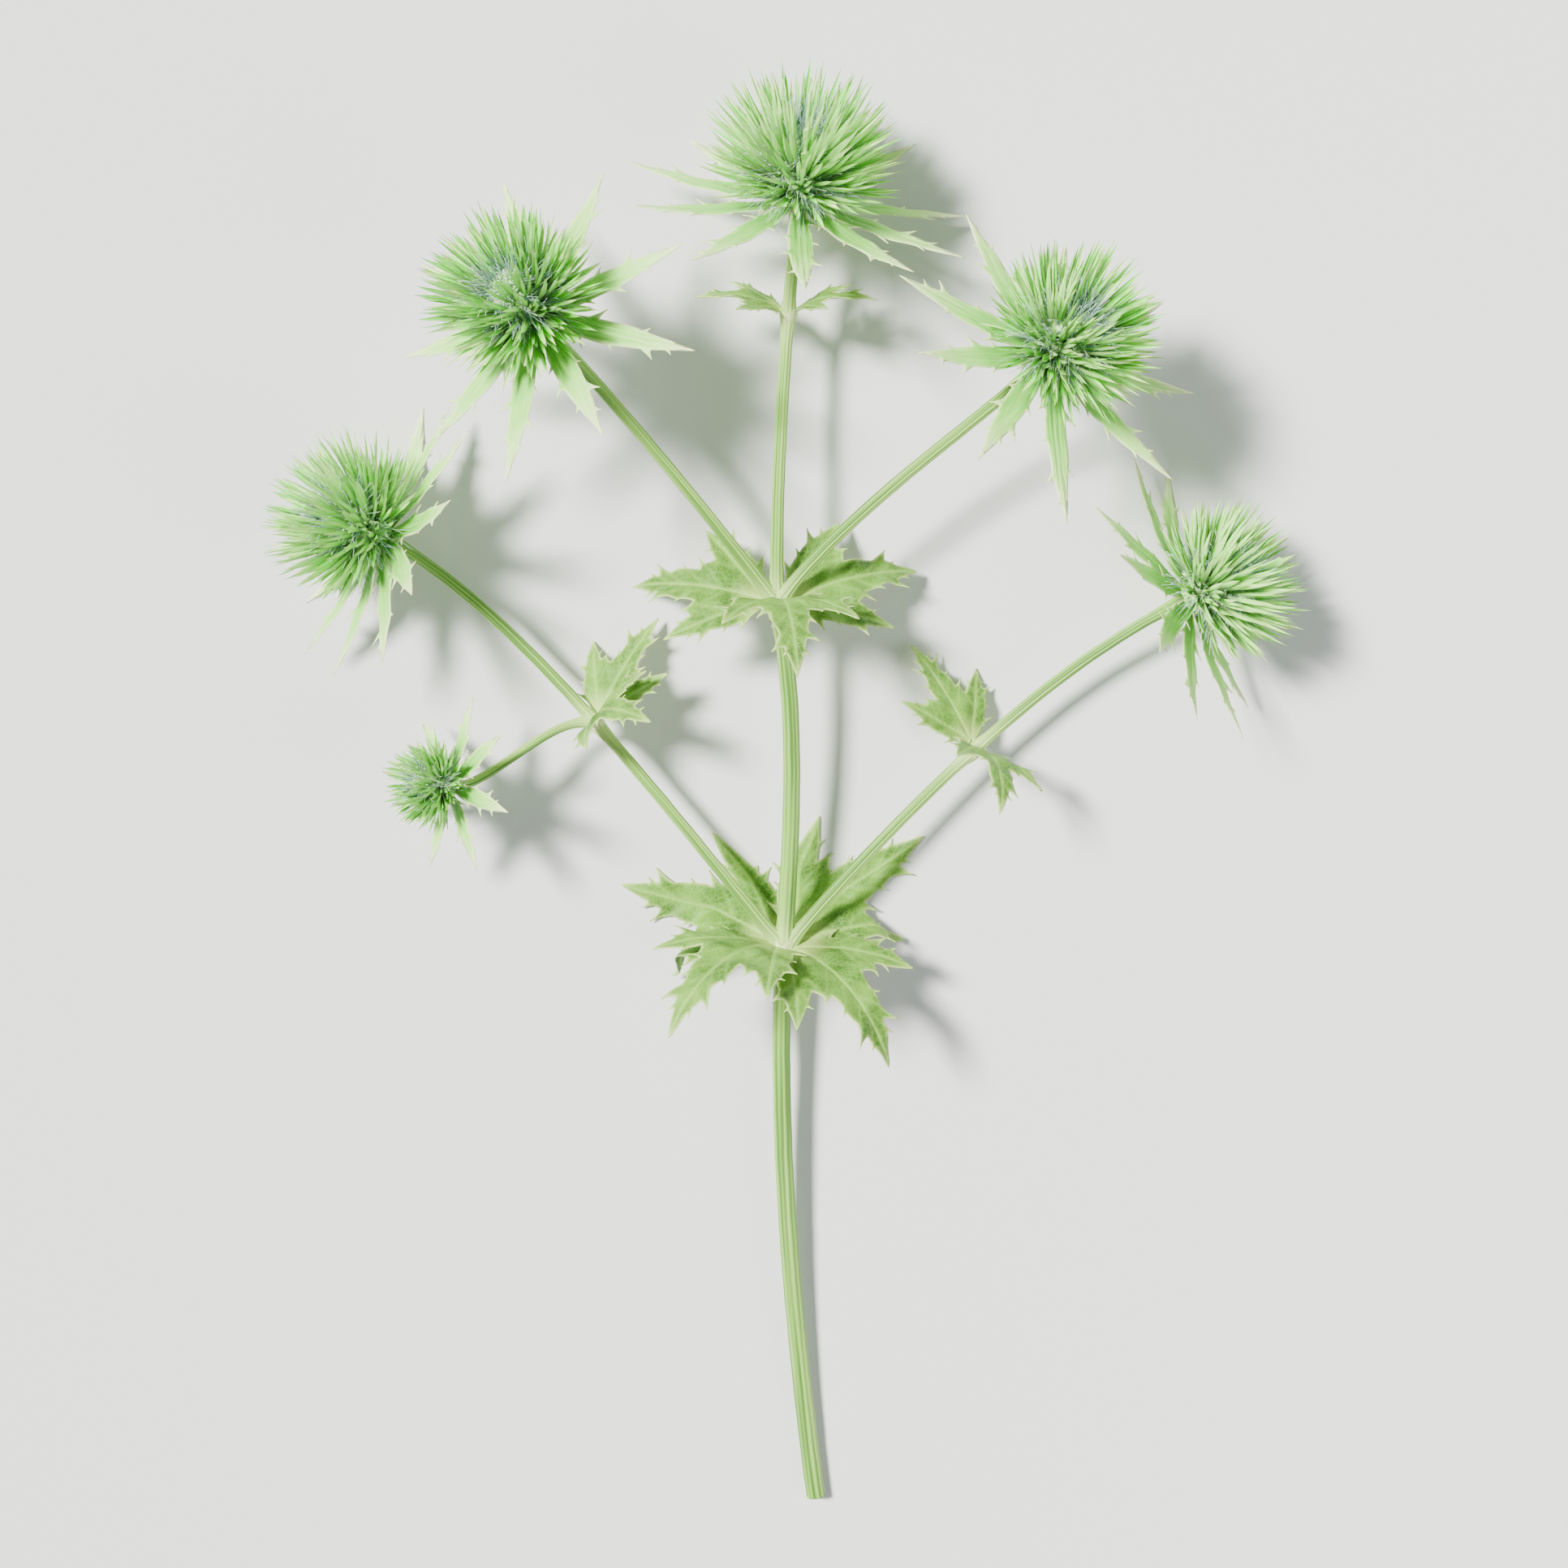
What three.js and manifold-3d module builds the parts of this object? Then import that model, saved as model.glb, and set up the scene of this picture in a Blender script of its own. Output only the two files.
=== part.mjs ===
// A cut stem of sea holly (Eryngium), lying on a flat surface: one ribbed, branching stem,
// whorls of spiny leaves at its joints, and at the end of each branch a domed flower head
// that bristles with stiff bracteoles above a ruff of spiny bracts.
// Millimetres, +Z up. The surface is z = 0, the cut end points to -Y and the heads to +Y.
import * as THREE from "three";
import { mergeVertices } from "three/addons/utils/BufferGeometryUtils.js";
import Module from "manifold-3d";

const wasm = await Module();
wasm.setup();
const { Vector3 } = THREE;
const vec = (x, y, z) => new Vector3(x, y, z);
const WORLD_UP = vec(0, 0, 1);

// ---- Driving dimensions ----

const CUT_END = vec(10, -219.5, 2.85);
const LOWER_JOINT = vec(0, -39, 15);
const UPPER_JOINT = vec(-2, 66, 26);
const STEM_RADIUS = 2.9; // at the cut end
const STEM_TAPER = 0.8; // the upper end's share of that radius
const BRANCH_RADIUS = 1.75;
const BRANCH_THINNEST = 0.55; // share of that radius a branch keeps, however small its head
const HEAD_SEAT_RADIUS = 2.9; // a branch flares to this under its head
const FLARE_FROM = 0.9; // share of a branch's length where the flare starts
const KNUCKLE_STRETCH = 1.7; // length of the swelling at a joint against its width
const RIB_DEPTH = 0.09; // share of the radius
const SEAT_GAP = 0.3; // between solids that touch

// Each head: where the base of its dome sits, the way it faces, its size against the largest one,
// and how many bracteoles and bracts it has.
const head = (name, base, axis, size, bracteoles, bracts) => ({ name, base, axis, size, bracteoles, bracts });
const HEADS = [
  head("top", vec(4, 181, 28.5), vec(0.08, 0.9, 0.38), 1, 96, 10),
  head("upper_left", vec(-68, 150, 60), vec(-0.38, 0.5, 0.78), 0.9, 78, 9),
  head("upper_right", vec(73, 139, 54), vec(0.44, 0.54, 0.72), 0.92, 78, 9),
  head("lower_left", vec(-116, 86, 25.3), vec(-0.78, 0.5, 0.38), 0.9, 78, 10),
  head("lower_right", vec(118, 68, 24), vec(0.8, 0.46, 0.38), 0.88, 78, 10),
  head("bud", vec(-98, 14, 31), vec(-0.76, 0.2, 0.6), 0.5, 34, 7),
];

const HEAD = {
  domeRadius: 8.6,
  domeHeight: 20,
  floretRelief: 0.09, // share of the dome's radius that its florets stand out by
  ballRadius: 29, // to the tips of the bracteoles, on the largest head
  ballHeight: 12.5, // the middle of that ball above the dome's base
  apexShare: 0.84, // how far the bracteoles at the apex reach, against the others
  widestAngle: 1.95, // from the head's axis to the lowest bracteole, in radians
  highestRoot: 0.62, // shares of the dome's height between which the bracteoles are rooted
  lowestRoot: 0.13,
  lowestTip: 1.8, // above the dome's base, clear of the ruff
  bracteoleWidth: 2.3,
  bracteoleDepth: 1.0,
  bracteoleWidest: 0.6, // share of its length, from the root inside the dome
};

const RUFF = {
  collarRadius: 5.2,
  collarHeight: 2.2,
  bractLength: 47,
  bractHalfWidth: 3.35,
  spineLength: 3.6,
  droop: 0.2, // a bract's slope away from the head as it leaves the collar
  curl: 0.006, // radians a mm, back towards the head
  fold: 0.12, // rise of a bract's edges against their distance from its rib
  thickness: 0.9,
  pressed: 0.28, // flattened off the under side of a bract that bears on the surface
};

const LEAF = {
  halfWidth: 0.12, // shares of the leaf's length
  toothLength: 0.1,
  rootHalfWidth: 0.036,
  sideLobe: 0.72,
  sinus: 0.26,
  sideLobeAngle: 0.66, // radians
  fold: 0.14,
  thickness: 0.85,
  clearance: 0.3, // between a lying leaf and the surface
  stagger: 3, // mm along the stem between the roots of the leaves that stand out and those that lean
};

const GOLDEN_ANGLE = Math.PI * (3 - Math.sqrt(5));

// ---- Solids ----

function geometryOf(points, index) {
  const geometry = new THREE.BufferGeometry();
  const position = new Float32Array(points.flatMap((p) => [p.x, p.y, p.z]));
  geometry.setAttribute("position", new THREE.BufferAttribute(position, 3));
  geometry.setIndex(index);
  return geometry;
}

function solidOf(geometry) {
  const bare = geometry.clone();
  for (const name of Object.keys(bare.attributes)) if (name !== "position") bare.deleteAttribute(name);
  const merged = mergeVertices(bare);
  return new wasm.Manifold(
    new wasm.Mesh({
      numProp: 3,
      vertProperties: merged.attributes.position.array,
      triVerts: new Uint32Array(merged.index.array),
    }),
  );
}

function geometryFrom(solid) {
  const { vertProperties, triVerts } = solid.getMesh();
  const geometry = new THREE.BufferGeometry();
  geometry.setAttribute("position", new THREE.BufferAttribute(vertProperties, 3));
  geometry.setIndex(new THREE.BufferAttribute(triVerts, 1));
  geometry.computeVertexNormals();
  return geometry;
}

// Joins pieces two by two, so that no join grows long before it has to.
function joined(pieces) {
  let solids = pieces.map(solidOf);
  while (solids.length > 1) {
    const pairs = [];
    for (let i = 0; i < solids.length; i += 2)
      pairs.push(i + 1 < solids.length ? solids[i].add(solids[i + 1]) : solids[i]);
    solids = pairs;
  }
  return solids[0];
}

// A closed skin over a row of rings. An end ring of one point is a tip; other ends get a cap round
// their middle.
function loft(rings) {
  const points = rings.flat();
  const index = [];
  const starts = rings.map((ring, i) => rings.slice(0, i).reduce((sum, r) => sum + r.length, 0));
  for (let i = 0; i + 1 < rings.length; i++) {
    const [a, b] = [starts[i], starts[i + 1]];
    const n = Math.max(rings[i].length, rings[i + 1].length);
    for (let j = 0; j < n; j++) {
      const k = (j + 1) % n;
      if (rings[i].length === 1) index.push(a, b + k, b + j);
      else if (rings[i + 1].length === 1) index.push(a + j, a + k, b);
      else index.push(a + j, a + k, b + k, a + j, b + k, b + j);
    }
  }
  const cap = (ring, start, facesBack) => {
    if (ring.length === 1) return;
    const middle = points.length;
    points.push(ring.reduce((sum, p) => sum.add(p), vec(0, 0, 0)).divideScalar(ring.length));
    ring.forEach((_, j) => {
      const pair = [start + j, start + ((j + 1) % ring.length)];
      index.push(middle, ...(facesBack ? pair.reverse() : pair));
    });
  };
  cap(rings[0], starts[0], true);
  cap(rings.at(-1), starts.at(-1), false);
  return geometryOf(points, index);
}

// Takes off whatever of a solid would sink below the surface, in the solid's own frame.
function cutAtSurface(solid, frame = new THREE.Matrix4()) {
  const ground = new THREE.BoxGeometry(700, 700, 40).translate(0, 0, -20);
  return solid.subtract(solidOf(ground.applyMatrix4(frame.clone().invert())));
}

// Numbers between 0 and 1 from a seed, always the same ones.
function randomFrom(seed) {
  let state = seed >>> 0;
  return () => {
    state = (state + 0x6d2b79f5) >>> 0;
    let t = Math.imul(state ^ (state >>> 15), 1 | state);
    t = (t + Math.imul(t ^ (t >>> 7), 61 | t)) ^ t;
    return ((t ^ (t >>> 14)) >>> 0) / 4294967296;
  };
}

const spread = (random, amount) => (random() * 2 - 1) * amount;

// ---- Stem ----

// From a joint to the seat under a head, leaving and arriving in given directions.
function branchTo(name, from, leaving, reach) {
  const head = HEADS.find((each) => each.name === name);
  const facing = head.axis.clone().normalize();
  const seat = head.base.clone().addScaledVector(facing, -(RUFF.collarHeight + 2 * SEAT_GAP));
  return new THREE.CubicBezierCurve3(
    from,
    from.clone().addScaledVector(leaving.clone().normalize(), reach),
    seat.clone().addScaledVector(facing, -reach * 0.9),
    seat,
  );
}

const LOWER_STALK = new THREE.CubicBezierCurve3(CUT_END, vec(3, -165, 3.6), vec(-3, -95, 11), LOWER_JOINT);
const UPPER_STALK = new THREE.CubicBezierCurve3(LOWER_JOINT, vec(1.7, -8, 17.2), vec(5, 30, 22), UPPER_JOINT);
const BRANCHES = {
  top: branchTo("top", UPPER_JOINT, vec(-0.02, 1, 0.05), 36),
  upper_left: branchTo("upper_left", UPPER_JOINT, vec(-0.55, 0.8, 0.3), 36),
  upper_right: branchTo("upper_right", UPPER_JOINT, vec(0.55, 0.8, 0.26), 36),
  lower_left: branchTo("lower_left", LOWER_JOINT, vec(-0.62, 0.8, 0.14), 52),
  lower_right: branchTo("lower_right", LOWER_JOINT, vec(0.62, 0.8, 0.14), 52),
};
const LEFT_JOINT = BRANCHES.lower_left.getPoint(0.5);
const RIGHT_JOINT = BRANCHES.lower_right.getPoint(0.5);
const TOP_JOINT = BRANCHES.top.getPoint(0.7);
BRANCHES.bud = branchTo("bud", LEFT_JOINT, vec(-0.9, 0.3, 0.25), 14);

// Every joint of the stem: its middle, the way the stem runs through it, and how far it swells.
const JOINTS = {
  lower: { at: LOWER_JOINT, along: vec(0, 1, 0.1), radius: STEM_RADIUS * 1.2 },
  upper: { at: UPPER_JOINT, along: vec(0, 1, 0.1), radius: STEM_RADIUS * 1.08 },
  left: { at: LEFT_JOINT, along: vec(-0.6, 0.8, 0.1), radius: BRANCH_RADIUS * 1.35 },
  right: { at: RIGHT_JOINT, along: vec(0.6, 0.8, 0.1), radius: BRANCH_RADIUS * 1.35 },
  top: { at: TOP_JOINT, along: vec(0.05, 1, 0), radius: BRANCH_RADIUS * 1.3 },
};

// A ribbed tube along a curve: every second corner of its section stands out as a rib.
function tube(curve, { steps, sides, radiusAt }) {
  const frames = curve.computeFrenetFrames(steps, false);
  const rings = [];
  for (let i = 0; i <= steps; i++) {
    const centre = curve.getPointAt(i / steps);
    const ring = [];
    for (let j = 0; j < sides; j++) {
      const angle = (j / sides) * 2 * Math.PI;
      const r = radiusAt(i / steps) * (j % 2 ? 1 - RIB_DEPTH : 1 + RIB_DEPTH);
      ring.push(
        centre
          .clone()
          .addScaledVector(frames.normals[i], r * Math.cos(angle))
          .addScaledVector(frames.binormals[i], r * Math.sin(angle)),
      );
    }
    rings.push(ring);
  }
  return loft(rings);
}

// The swelling at a joint, where leaves and branches leave the stem.
function knuckle({ at, along, radius }) {
  const turn = new THREE.Quaternion().setFromUnitVectors(vec(0, 1, 0), along.clone().normalize());
  const swelling = new THREE.SphereGeometry(radius, 8, 5).scale(1, KNUCKLE_STRETCH, 1);
  return swelling.applyQuaternion(turn).translate(at.x, at.y, at.z);
}

function stemSolid() {
  const upperRadius = STEM_RADIUS * STEM_TAPER;
  const jointRadius = (STEM_RADIUS + upperRadius) / 2;
  const taper = (from, to) => (t) => THREE.MathUtils.lerp(from, to, t);
  const pieces = [
    tube(LOWER_STALK, { steps: 7, sides: 12, radiusAt: taper(STEM_RADIUS, jointRadius) }),
    tube(UPPER_STALK, { steps: 6, sides: 12, radiusAt: taper(jointRadius, upperRadius) }),
    ...Object.values(JOINTS).map(knuckle),
  ];
  for (const { name, size } of HEADS) {
    const share = THREE.MathUtils.lerp(BRANCH_THINNEST, 1, size);
    const flare = (t) => Math.max(0, (t - FLARE_FROM) / (1 - FLARE_FROM)) ** 2;
    const radiusAt = (t) => share * THREE.MathUtils.lerp(BRANCH_RADIUS, HEAD_SEAT_RADIUS, flare(t));
    pieces.push(tube(BRANCHES[name], { steps: size < 0.6 ? 6 : 9, sides: 6, radiusAt }));
  }
  return joined(pieces);
}

// ---- Blades: bracts and leaves ----

// The middle line of a blade, grown step by step. It curls towards its upper side (or away, where curl
// is negative) and, where it comes down on the surface, levels out and lies along it.
function growRib({ root, direction, up, length, curl, surface }) {
  const STEPS = 24;
  const SOFTNESS = 4.5; // mm above the surface at which the levelling starts
  const stride = length / STEPS;
  const at = root.clone();
  const along = direction.clone().normalize();
  const side = vec(0, 0, 0).crossVectors(along, up).normalize();
  const rib = [];
  for (let i = 0; i <= STEPS; i++) {
    const above = vec(0, 0, 0).crossVectors(side, along);
    rib.push({ at: at.clone(), side: side.clone(), above });
    along.addScaledVector(above, curl * stride).normalize();
    const room = Math.max(0, surface.height(at) - surface.clearance) / SOFTNESS;
    const rise = along.dot(surface.up);
    if (rise < -room) along.addScaledVector(surface.up, -room - rise).normalize();
    if (room < 1) side.addScaledVector(surface.up, -side.dot(surface.up) * (1 - room) * 0.5);
    side.addScaledVector(along, -side.dot(along)).normalize();
    at.addScaledVector(along, stride);
  }
  return (s) => {
    const x = THREE.MathUtils.clamp(s / stride, 0, STEPS);
    const i = Math.min(Math.floor(x), STEPS - 1);
    const mix = (key) => rib[i][key].clone().lerp(rib[i + 1][key], x - i);
    return { at: mix("at"), side: mix("side").normalize(), above: mix("above").normalize() };
  };
}

// Half the width of a blade or lobe at share t of its length: drawn in at the root, pointed at the tip.
function widthShare(t, rootShare) {
  const bellied = rootShare + (4 - 2 * rootShare) * t * (1 - t);
  return bellied * Math.sqrt(1 - t ** 2.2);
}

// One edge from root to tip, as [distance along, distance across], with forward-pointing teeth.
function edge({ length, halfWidth, rootShare, teeth, toothLength, offset, from = 0 }) {
  const widthAt = (t) => halfWidth * widthShare(t, rootShare);
  const points = from > 0 ? [] : [[0, widthAt(0)]];
  for (let k = 0; k < teeth; k++) {
    const t = from + (0.9 - from) * ((k + offset) / teeth);
    points.push([(t - 0.05) * length, widthAt(t - 0.05)]);
    points.push([t * length + 0.7 * toothLength, widthAt(t) + toothLength * (1 - 0.35 * t)]);
    points.push([(t + 0.03) * length, widthAt(t + 0.03) * 0.95]);
  }
  return points;
}

// Splits the strip between two rows of numbered points into triangles, always taking the nearer step.
function zip(rowA, rowB, distance) {
  const triangles = [];
  let [i, j] = [0, 0];
  while (i + 1 < rowA.length || j + 1 < rowB.length) {
    const stepA = i + 1 < rowA.length ? distance(rowA[i + 1]) : Infinity;
    const stepB = j + 1 < rowB.length ? distance(rowB[j + 1]) : Infinity;
    const triangle = [rowA[i], rowB[j], stepA <= stepB ? rowA[++i] : rowB[++j]];
    if (new Set(triangle).size === 3) triangles.push(triangle);
  }
  return triangles;
}

// A thin solid with the same triangles on both faces. Its sheet holds flat points { s, w, lift }, the
// triangles between them and the rim that runs round them. Points that would sink into the surface
// are laid on it.
function thicken({ points, triangles, rim }, { ribAt, thickness, surface }) {
  const layer = (offset) =>
    points.map(({ s, w, lift }) => {
      const { at, side, above } = ribAt(s);
      const middle = at.addScaledVector(side, w).addScaledVector(above, lift);
      const height = surface.height(middle);
      if (height < surface.clearance) middle.addScaledVector(surface.up, surface.clearance - height);
      return middle.addScaledVector(above, offset);
    });
  const n = points.length;
  const index = [];
  for (const [a, b, c] of triangles) index.push(a, c, b, n + a, n + b, n + c);
  rim.forEach((a, i) => {
    const b = rim[(i + 1) % rim.length];
    index.push(b, a, n + a, b, n + a, n + b);
  });
  return geometryOf([...layer(thickness / 2), ...layer(-thickness / 2)], index);
}

// ---- Heads ----

// A stiff bracteole: three sides, widest beyond the middle, keeled below, ending in a point.
function bracteole(root, tip, width, depth) {
  const along = tip.clone().sub(root);
  const above = vec(0, 0, 1).addScaledVector(along, -along.z / along.lengthSq());
  if (above.lengthSq() < 1e-6) above.set(1, 0, 0);
  above.normalize();
  const side = vec(0, 0, 0).crossVectors(above, along).normalize();
  const middle = root.clone().addScaledVector(along, HEAD.bracteoleWidest);
  const belly = [
    middle.clone().addScaledVector(side, width / 2),
    middle.clone().addScaledVector(side, -width / 2),
    middle.clone().addScaledVector(above, -depth),
  ];
  return loft([[root], belly, [tip]]);
}

// The dome, knobbly with florets: its rows of corners stand out and in by turns.
function dome(radius, height) {
  const SIDES = 12;
  const rows = [[0.8, 0], [1, 0.2], [1.02, 0.38], [0.94, 0.56], [0.76, 0.74], [0.46, 0.9]];
  const rings = rows.map(([r, h], i) =>
    Array.from({ length: SIDES }, (_, j) => {
      const angle = (j / SIDES) * 2 * Math.PI;
      const relief = i > 0 ? HEAD.floretRelief * ((i + j) % 2 ? 1 : -1) : 0;
      const reach = radius * r * (1 + relief);
      return vec(reach * Math.cos(angle), reach * Math.sin(angle), h * height);
    }),
  );
  return loft([...rings, [vec(0, 0, height)]]);
}

// The bracteoles stand round the dome in a spiral, their tips on a ball that is a little flat at its apex.
function headSolid({ size, bracteoles, name }) {
  const random = randomFrom(name.length * 977 + Math.round(size * 1000));
  const pieces = [dome(HEAD.domeRadius * size, HEAD.domeHeight * size)];
  const width = HEAD.bracteoleWidth * Math.sqrt(size);
  const depth = HEAD.bracteoleDepth * Math.sqrt(size);
  for (let i = 0; i < bracteoles; i++) {
    const fromAxis = 1 - (1 - Math.cos(HEAD.widestAngle)) * ((i + 0.5) / bracteoles);
    const polar = Math.acos(fromAxis) + spread(random, 0.04);
    const around = i * GOLDEN_ANGLE + spread(random, 0.12);
    const out = vec(Math.sin(polar) * Math.cos(around), Math.sin(polar) * Math.sin(around), Math.cos(polar));
    const share = THREE.MathUtils.lerp(HEAD.apexShare, 1, Math.min(1, polar)) * (1 + spread(random, 0.06));
    const tip = out.clone().multiplyScalar(HEAD.ballRadius * share * size);
    tip.z = Math.max(tip.z + HEAD.ballHeight * size, HEAD.lowestTip);
    const low = THREE.MathUtils.clamp(polar / HEAD.widestAngle, 0, 1);
    const rootShare = THREE.MathUtils.lerp(HEAD.highestRoot, HEAD.lowestRoot, low);
    const root = vec(0, 0, HEAD.domeHeight * size * rootShare);
    root.addScaledVector(out.setZ(0), HEAD.domeRadius * size * 0.5);
    pieces.push(bracteole(root, tip, width, depth));
  }
  return joined(pieces);
}

// A single toothed blade, folded up a little on both sides of its rib.
function bract({ ribAt, length, left, right, surface }) {
  const points = [];
  const add = (row, sign) => row.map(([s, w]) => points.push({ s, w: sign * w, lift: RUFF.fold * w }) - 1);
  const leftRow = add(left, 1);
  const ribRow = add([0, 0.3, 0.62].map((t) => [t * length, 0]), 1);
  const rightRow = add(right, -1);
  const tip = points.push({ s: length, w: 0, lift: 0 }) - 1;
  const along = (i) => points[i].s;
  const triangles = [
    ...zip([...leftRow, tip], [...ribRow, tip], along),
    ...zip([...ribRow, tip], [...rightRow, tip], along),
  ];
  const rim = [...leftRow, tip, ...rightRow.reverse(), ribRow[0]];
  return thicken({ points, triangles, rim }, { ribAt, thickness: RUFF.thickness, surface });
}

// The ruff: a small collar that the bracts grow out of, seated between the branch and the dome.
function ruffSolid({ size, bracts, name }, surface) {
  const random = randomFrom(name.length * 337 + bracts);
  const radius = RUFF.collarRadius * Math.sqrt(size);
  const [low, high] = [-(RUFF.collarHeight + SEAT_GAP), -SEAT_GAP];
  const profile = [[0, low], [radius * 0.75, low], [radius, low + 0.8], [radius, high - 0.5], [0, high]];
  const collar = new THREE.LatheGeometry(profile.map(([r, h]) => new THREE.Vector2(r, h)), 12);
  const pieces = [collar.rotateX(Math.PI / 2)];
  for (let k = 0; k < bracts; k++) {
    const around = (k / bracts) * 2 * Math.PI + spread(random, 0.08);
    const out = vec(Math.cos(around), Math.sin(around), 0);
    const length = RUFF.bractLength * size * (1 + spread(random, 0.08));
    const shape = {
      length,
      halfWidth: RUFF.bractHalfWidth * Math.sqrt(size),
      toothLength: RUFF.spineLength * Math.sqrt(size),
      rootShare: 0.4,
    };
    const ribAt = growRib({
      root: out.clone().multiplyScalar(radius * 0.6).setZ((low + high) / 2 - 0.2),
      direction: out.clone().setZ(-RUFF.droop + spread(random, 0.12)),
      up: vec(0, 0, 1),
      length,
      curl: RUFF.curl + spread(random, 0.003),
      surface,
    });
    const left = edge({ ...shape, teeth: 1 + (k % 2), offset: 0.55 });
    const right = edge({ ...shape, teeth: 2 - (k % 2), offset: 0.35 });
    pieces.push(bract({ ribAt, length, left, right, surface }));
  }
  return joined(pieces);
}

// ---- Leaves ----

// One leaf of a whorl: a single blade cut into a long middle lobe and two shorter side lobes, with
// spiny teeth.
function leafSolid({ root, direction, up, length, bend, surface }) {
  const points = [];
  // A point given by its distances along and across a lobe that is turned about the leaf's root.
  const place = (turn, s, w, lift) =>
    points.push({
      s: s * Math.cos(turn) - w * Math.sin(turn),
      w: s * Math.sin(turn) + w * Math.cos(turn),
      lift,
    }) - 1;
  const heart = place(0, 0, 0, 0);
  const [baseLeft, baseRight] = [1, -1].map((sign) => place(0, 0, sign * LEAF.rootHalfWidth * length, 0.3));
  const [sinusLeft, sinusRight] = [1, -1].map((sign) =>
    place(sign * LEAF.sideLobeAngle * 0.52, LEAF.sinus * length, 0, 0.7),
  );
  const triangles = [];
  // A lobe runs from the leaf's root to the lobe's tip, between a base or sinus point on either side.
  const lobe = (turn, share, [leftStart, leftTeeth], [rightStart, rightTeeth]) => {
    const reach = share * length;
    const shape = {
      length: reach,
      halfWidth: LEAF.halfWidth * length * (0.4 + 0.6 * share),
      toothLength: LEAF.toothLength * length * (0.5 + 0.5 * share),
      rootShare: 0.5,
    };
    const row = (start, teeth, offset, sign) => {
      const from = start === sinusLeft || start === sinusRight ? LEAF.sinus / share + 0.06 : 0.12;
      return edge({ ...shape, teeth, offset, from }).map(([s, w]) => place(turn, s, sign * w, LEAF.fold * w));
    };
    const left = row(leftStart, leftTeeth, 0.5, 1);
    const right = row(rightStart, rightTeeth, 0.35, -1);
    const ribs = [0.35, 0.65].map((t) => place(turn, t * reach, 0, 0));
    const tip = place(turn, reach, 0, 0);
    const fromRoot = (i) => Math.hypot(points[i].s, points[i].w);
    triangles.push(...zip([leftStart, ...left, tip], [heart, ...ribs, tip], fromRoot));
    triangles.push(...zip([heart, ...ribs, tip], [rightStart, ...right, tip], fromRoot));
    return [...left, tip, ...right.reverse()];
  };
  const leftLobe = lobe(LEAF.sideLobeAngle, LEAF.sideLobe, [baseLeft, 2], [sinusLeft, 1]);
  const middleLobe = lobe(0, 1, [sinusLeft, 2], [sinusRight, 2]);
  const rightLobe = lobe(-LEAF.sideLobeAngle, LEAF.sideLobe, [sinusRight, 1], [baseRight, 2]);
  const rim = [baseLeft, ...leftLobe, sinusLeft, ...middleLobe, sinusRight, ...rightLobe, baseRight, heart];
  const ribAt = growRib({ root, direction, up, length, curl: -bend, surface });
  return solidOf(thicken({ points, triangles, rim }, { ribAt, thickness: LEAF.thickness, surface }));
}

// Leaves stand round a joint of the stem. Each has the angle it stands at (in degrees about the stem
// from straight up, clockwise seen from the cut end), its root's distance from the joint's middle, how
// far it leans along the stem, how fast it bends back (radians a mm) and how far it is turned about its
// own rib (degrees).
const leaf = (angle, reach, lean, bend, turn) => ({ angle, reach, lean, bend, turn });
const WHORLS = [
  {
    joint: "lower",
    length: 52,
    leaves: [
      leaf(-121, 3.76, 0.4, 0.01, -30),
      leaf(-40, 3.9, 0.5, 0.03, -5),
      leaf(38, 3.72, 0.2, 0.03, 10),
      leaf(128, 3.9, 0.7, 0.01, 30),
    ],
  },
  {
    joint: "upper",
    length: 44,
    leaves: [leaf(-98, 3.38, 0.3, 0.018, -45), leaf(8, 3.4, 0.5, 0.034, 0), leaf(102, 3.57, 0.4, 0.018, 45)],
  },
  { joint: "left", length: 34, leaves: [leaf(25, 2.6, 0.5, 0.035, 10), leaf(105, 2.45, 0.5, 0.012, 40)] },
  { joint: "right", length: 34, leaves: [leaf(15, 2.5, 0.5, 0.035, 10), leaf(-105, 2.45, 0.5, 0.012, -40)] },
  { joint: "top", length: 25, leaves: [leaf(-75, 2.5, 0.5, 0.03, -20), leaf(60, 2.5, 0.6, 0.03, 20)] },
];

// ---- The whole stem ----

const material = (color, roughness) => new THREE.MeshStandardMaterial({ color, roughness, metalness: 0 });
const MATERIALS = {
  stem: material("#b4cf94", 0.6),
  leaf: material("#9cc57f", 0.65),
  bract: material("#bfe0a6", 0.6),
  flower: material("#a9d29a", 0.65),
};

const seaHolly = new THREE.Group();
const addMesh = (parent, name, solid, look) => {
  const mesh = new THREE.Mesh(geometryFrom(solid), MATERIALS[look]);
  mesh.name = name;
  parent.add(mesh);
};

// A group that looks along an axis: its +Z is the axis, its +X the side of it that is uppermost.
function groupAlong(at, axis) {
  const group = new THREE.Group();
  const ahead = axis.clone().normalize();
  const across = vec(0, 0, 0).crossVectors(ahead, WORLD_UP).normalize();
  const upper = vec(0, 0, 0).crossVectors(across, ahead);
  group.position.copy(at);
  group.setRotationFromMatrix(new THREE.Matrix4().makeBasis(upper, across, ahead));
  group.updateMatrixWorld();
  seaHolly.add(group);
  return group;
}

// The surface as a group sees it: the way up, the height of a point above it and the height a blade keeps.
function surfaceFor(group, clearance) {
  const up = WORLD_UP.clone().applyQuaternion(group.quaternion.clone().invert());
  return { up, clearance, height: (p) => group.position.z + p.dot(up) };
}

addMesh(seaHolly, "stem", cutAtSurface(stemSolid()), "stem");

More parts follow.
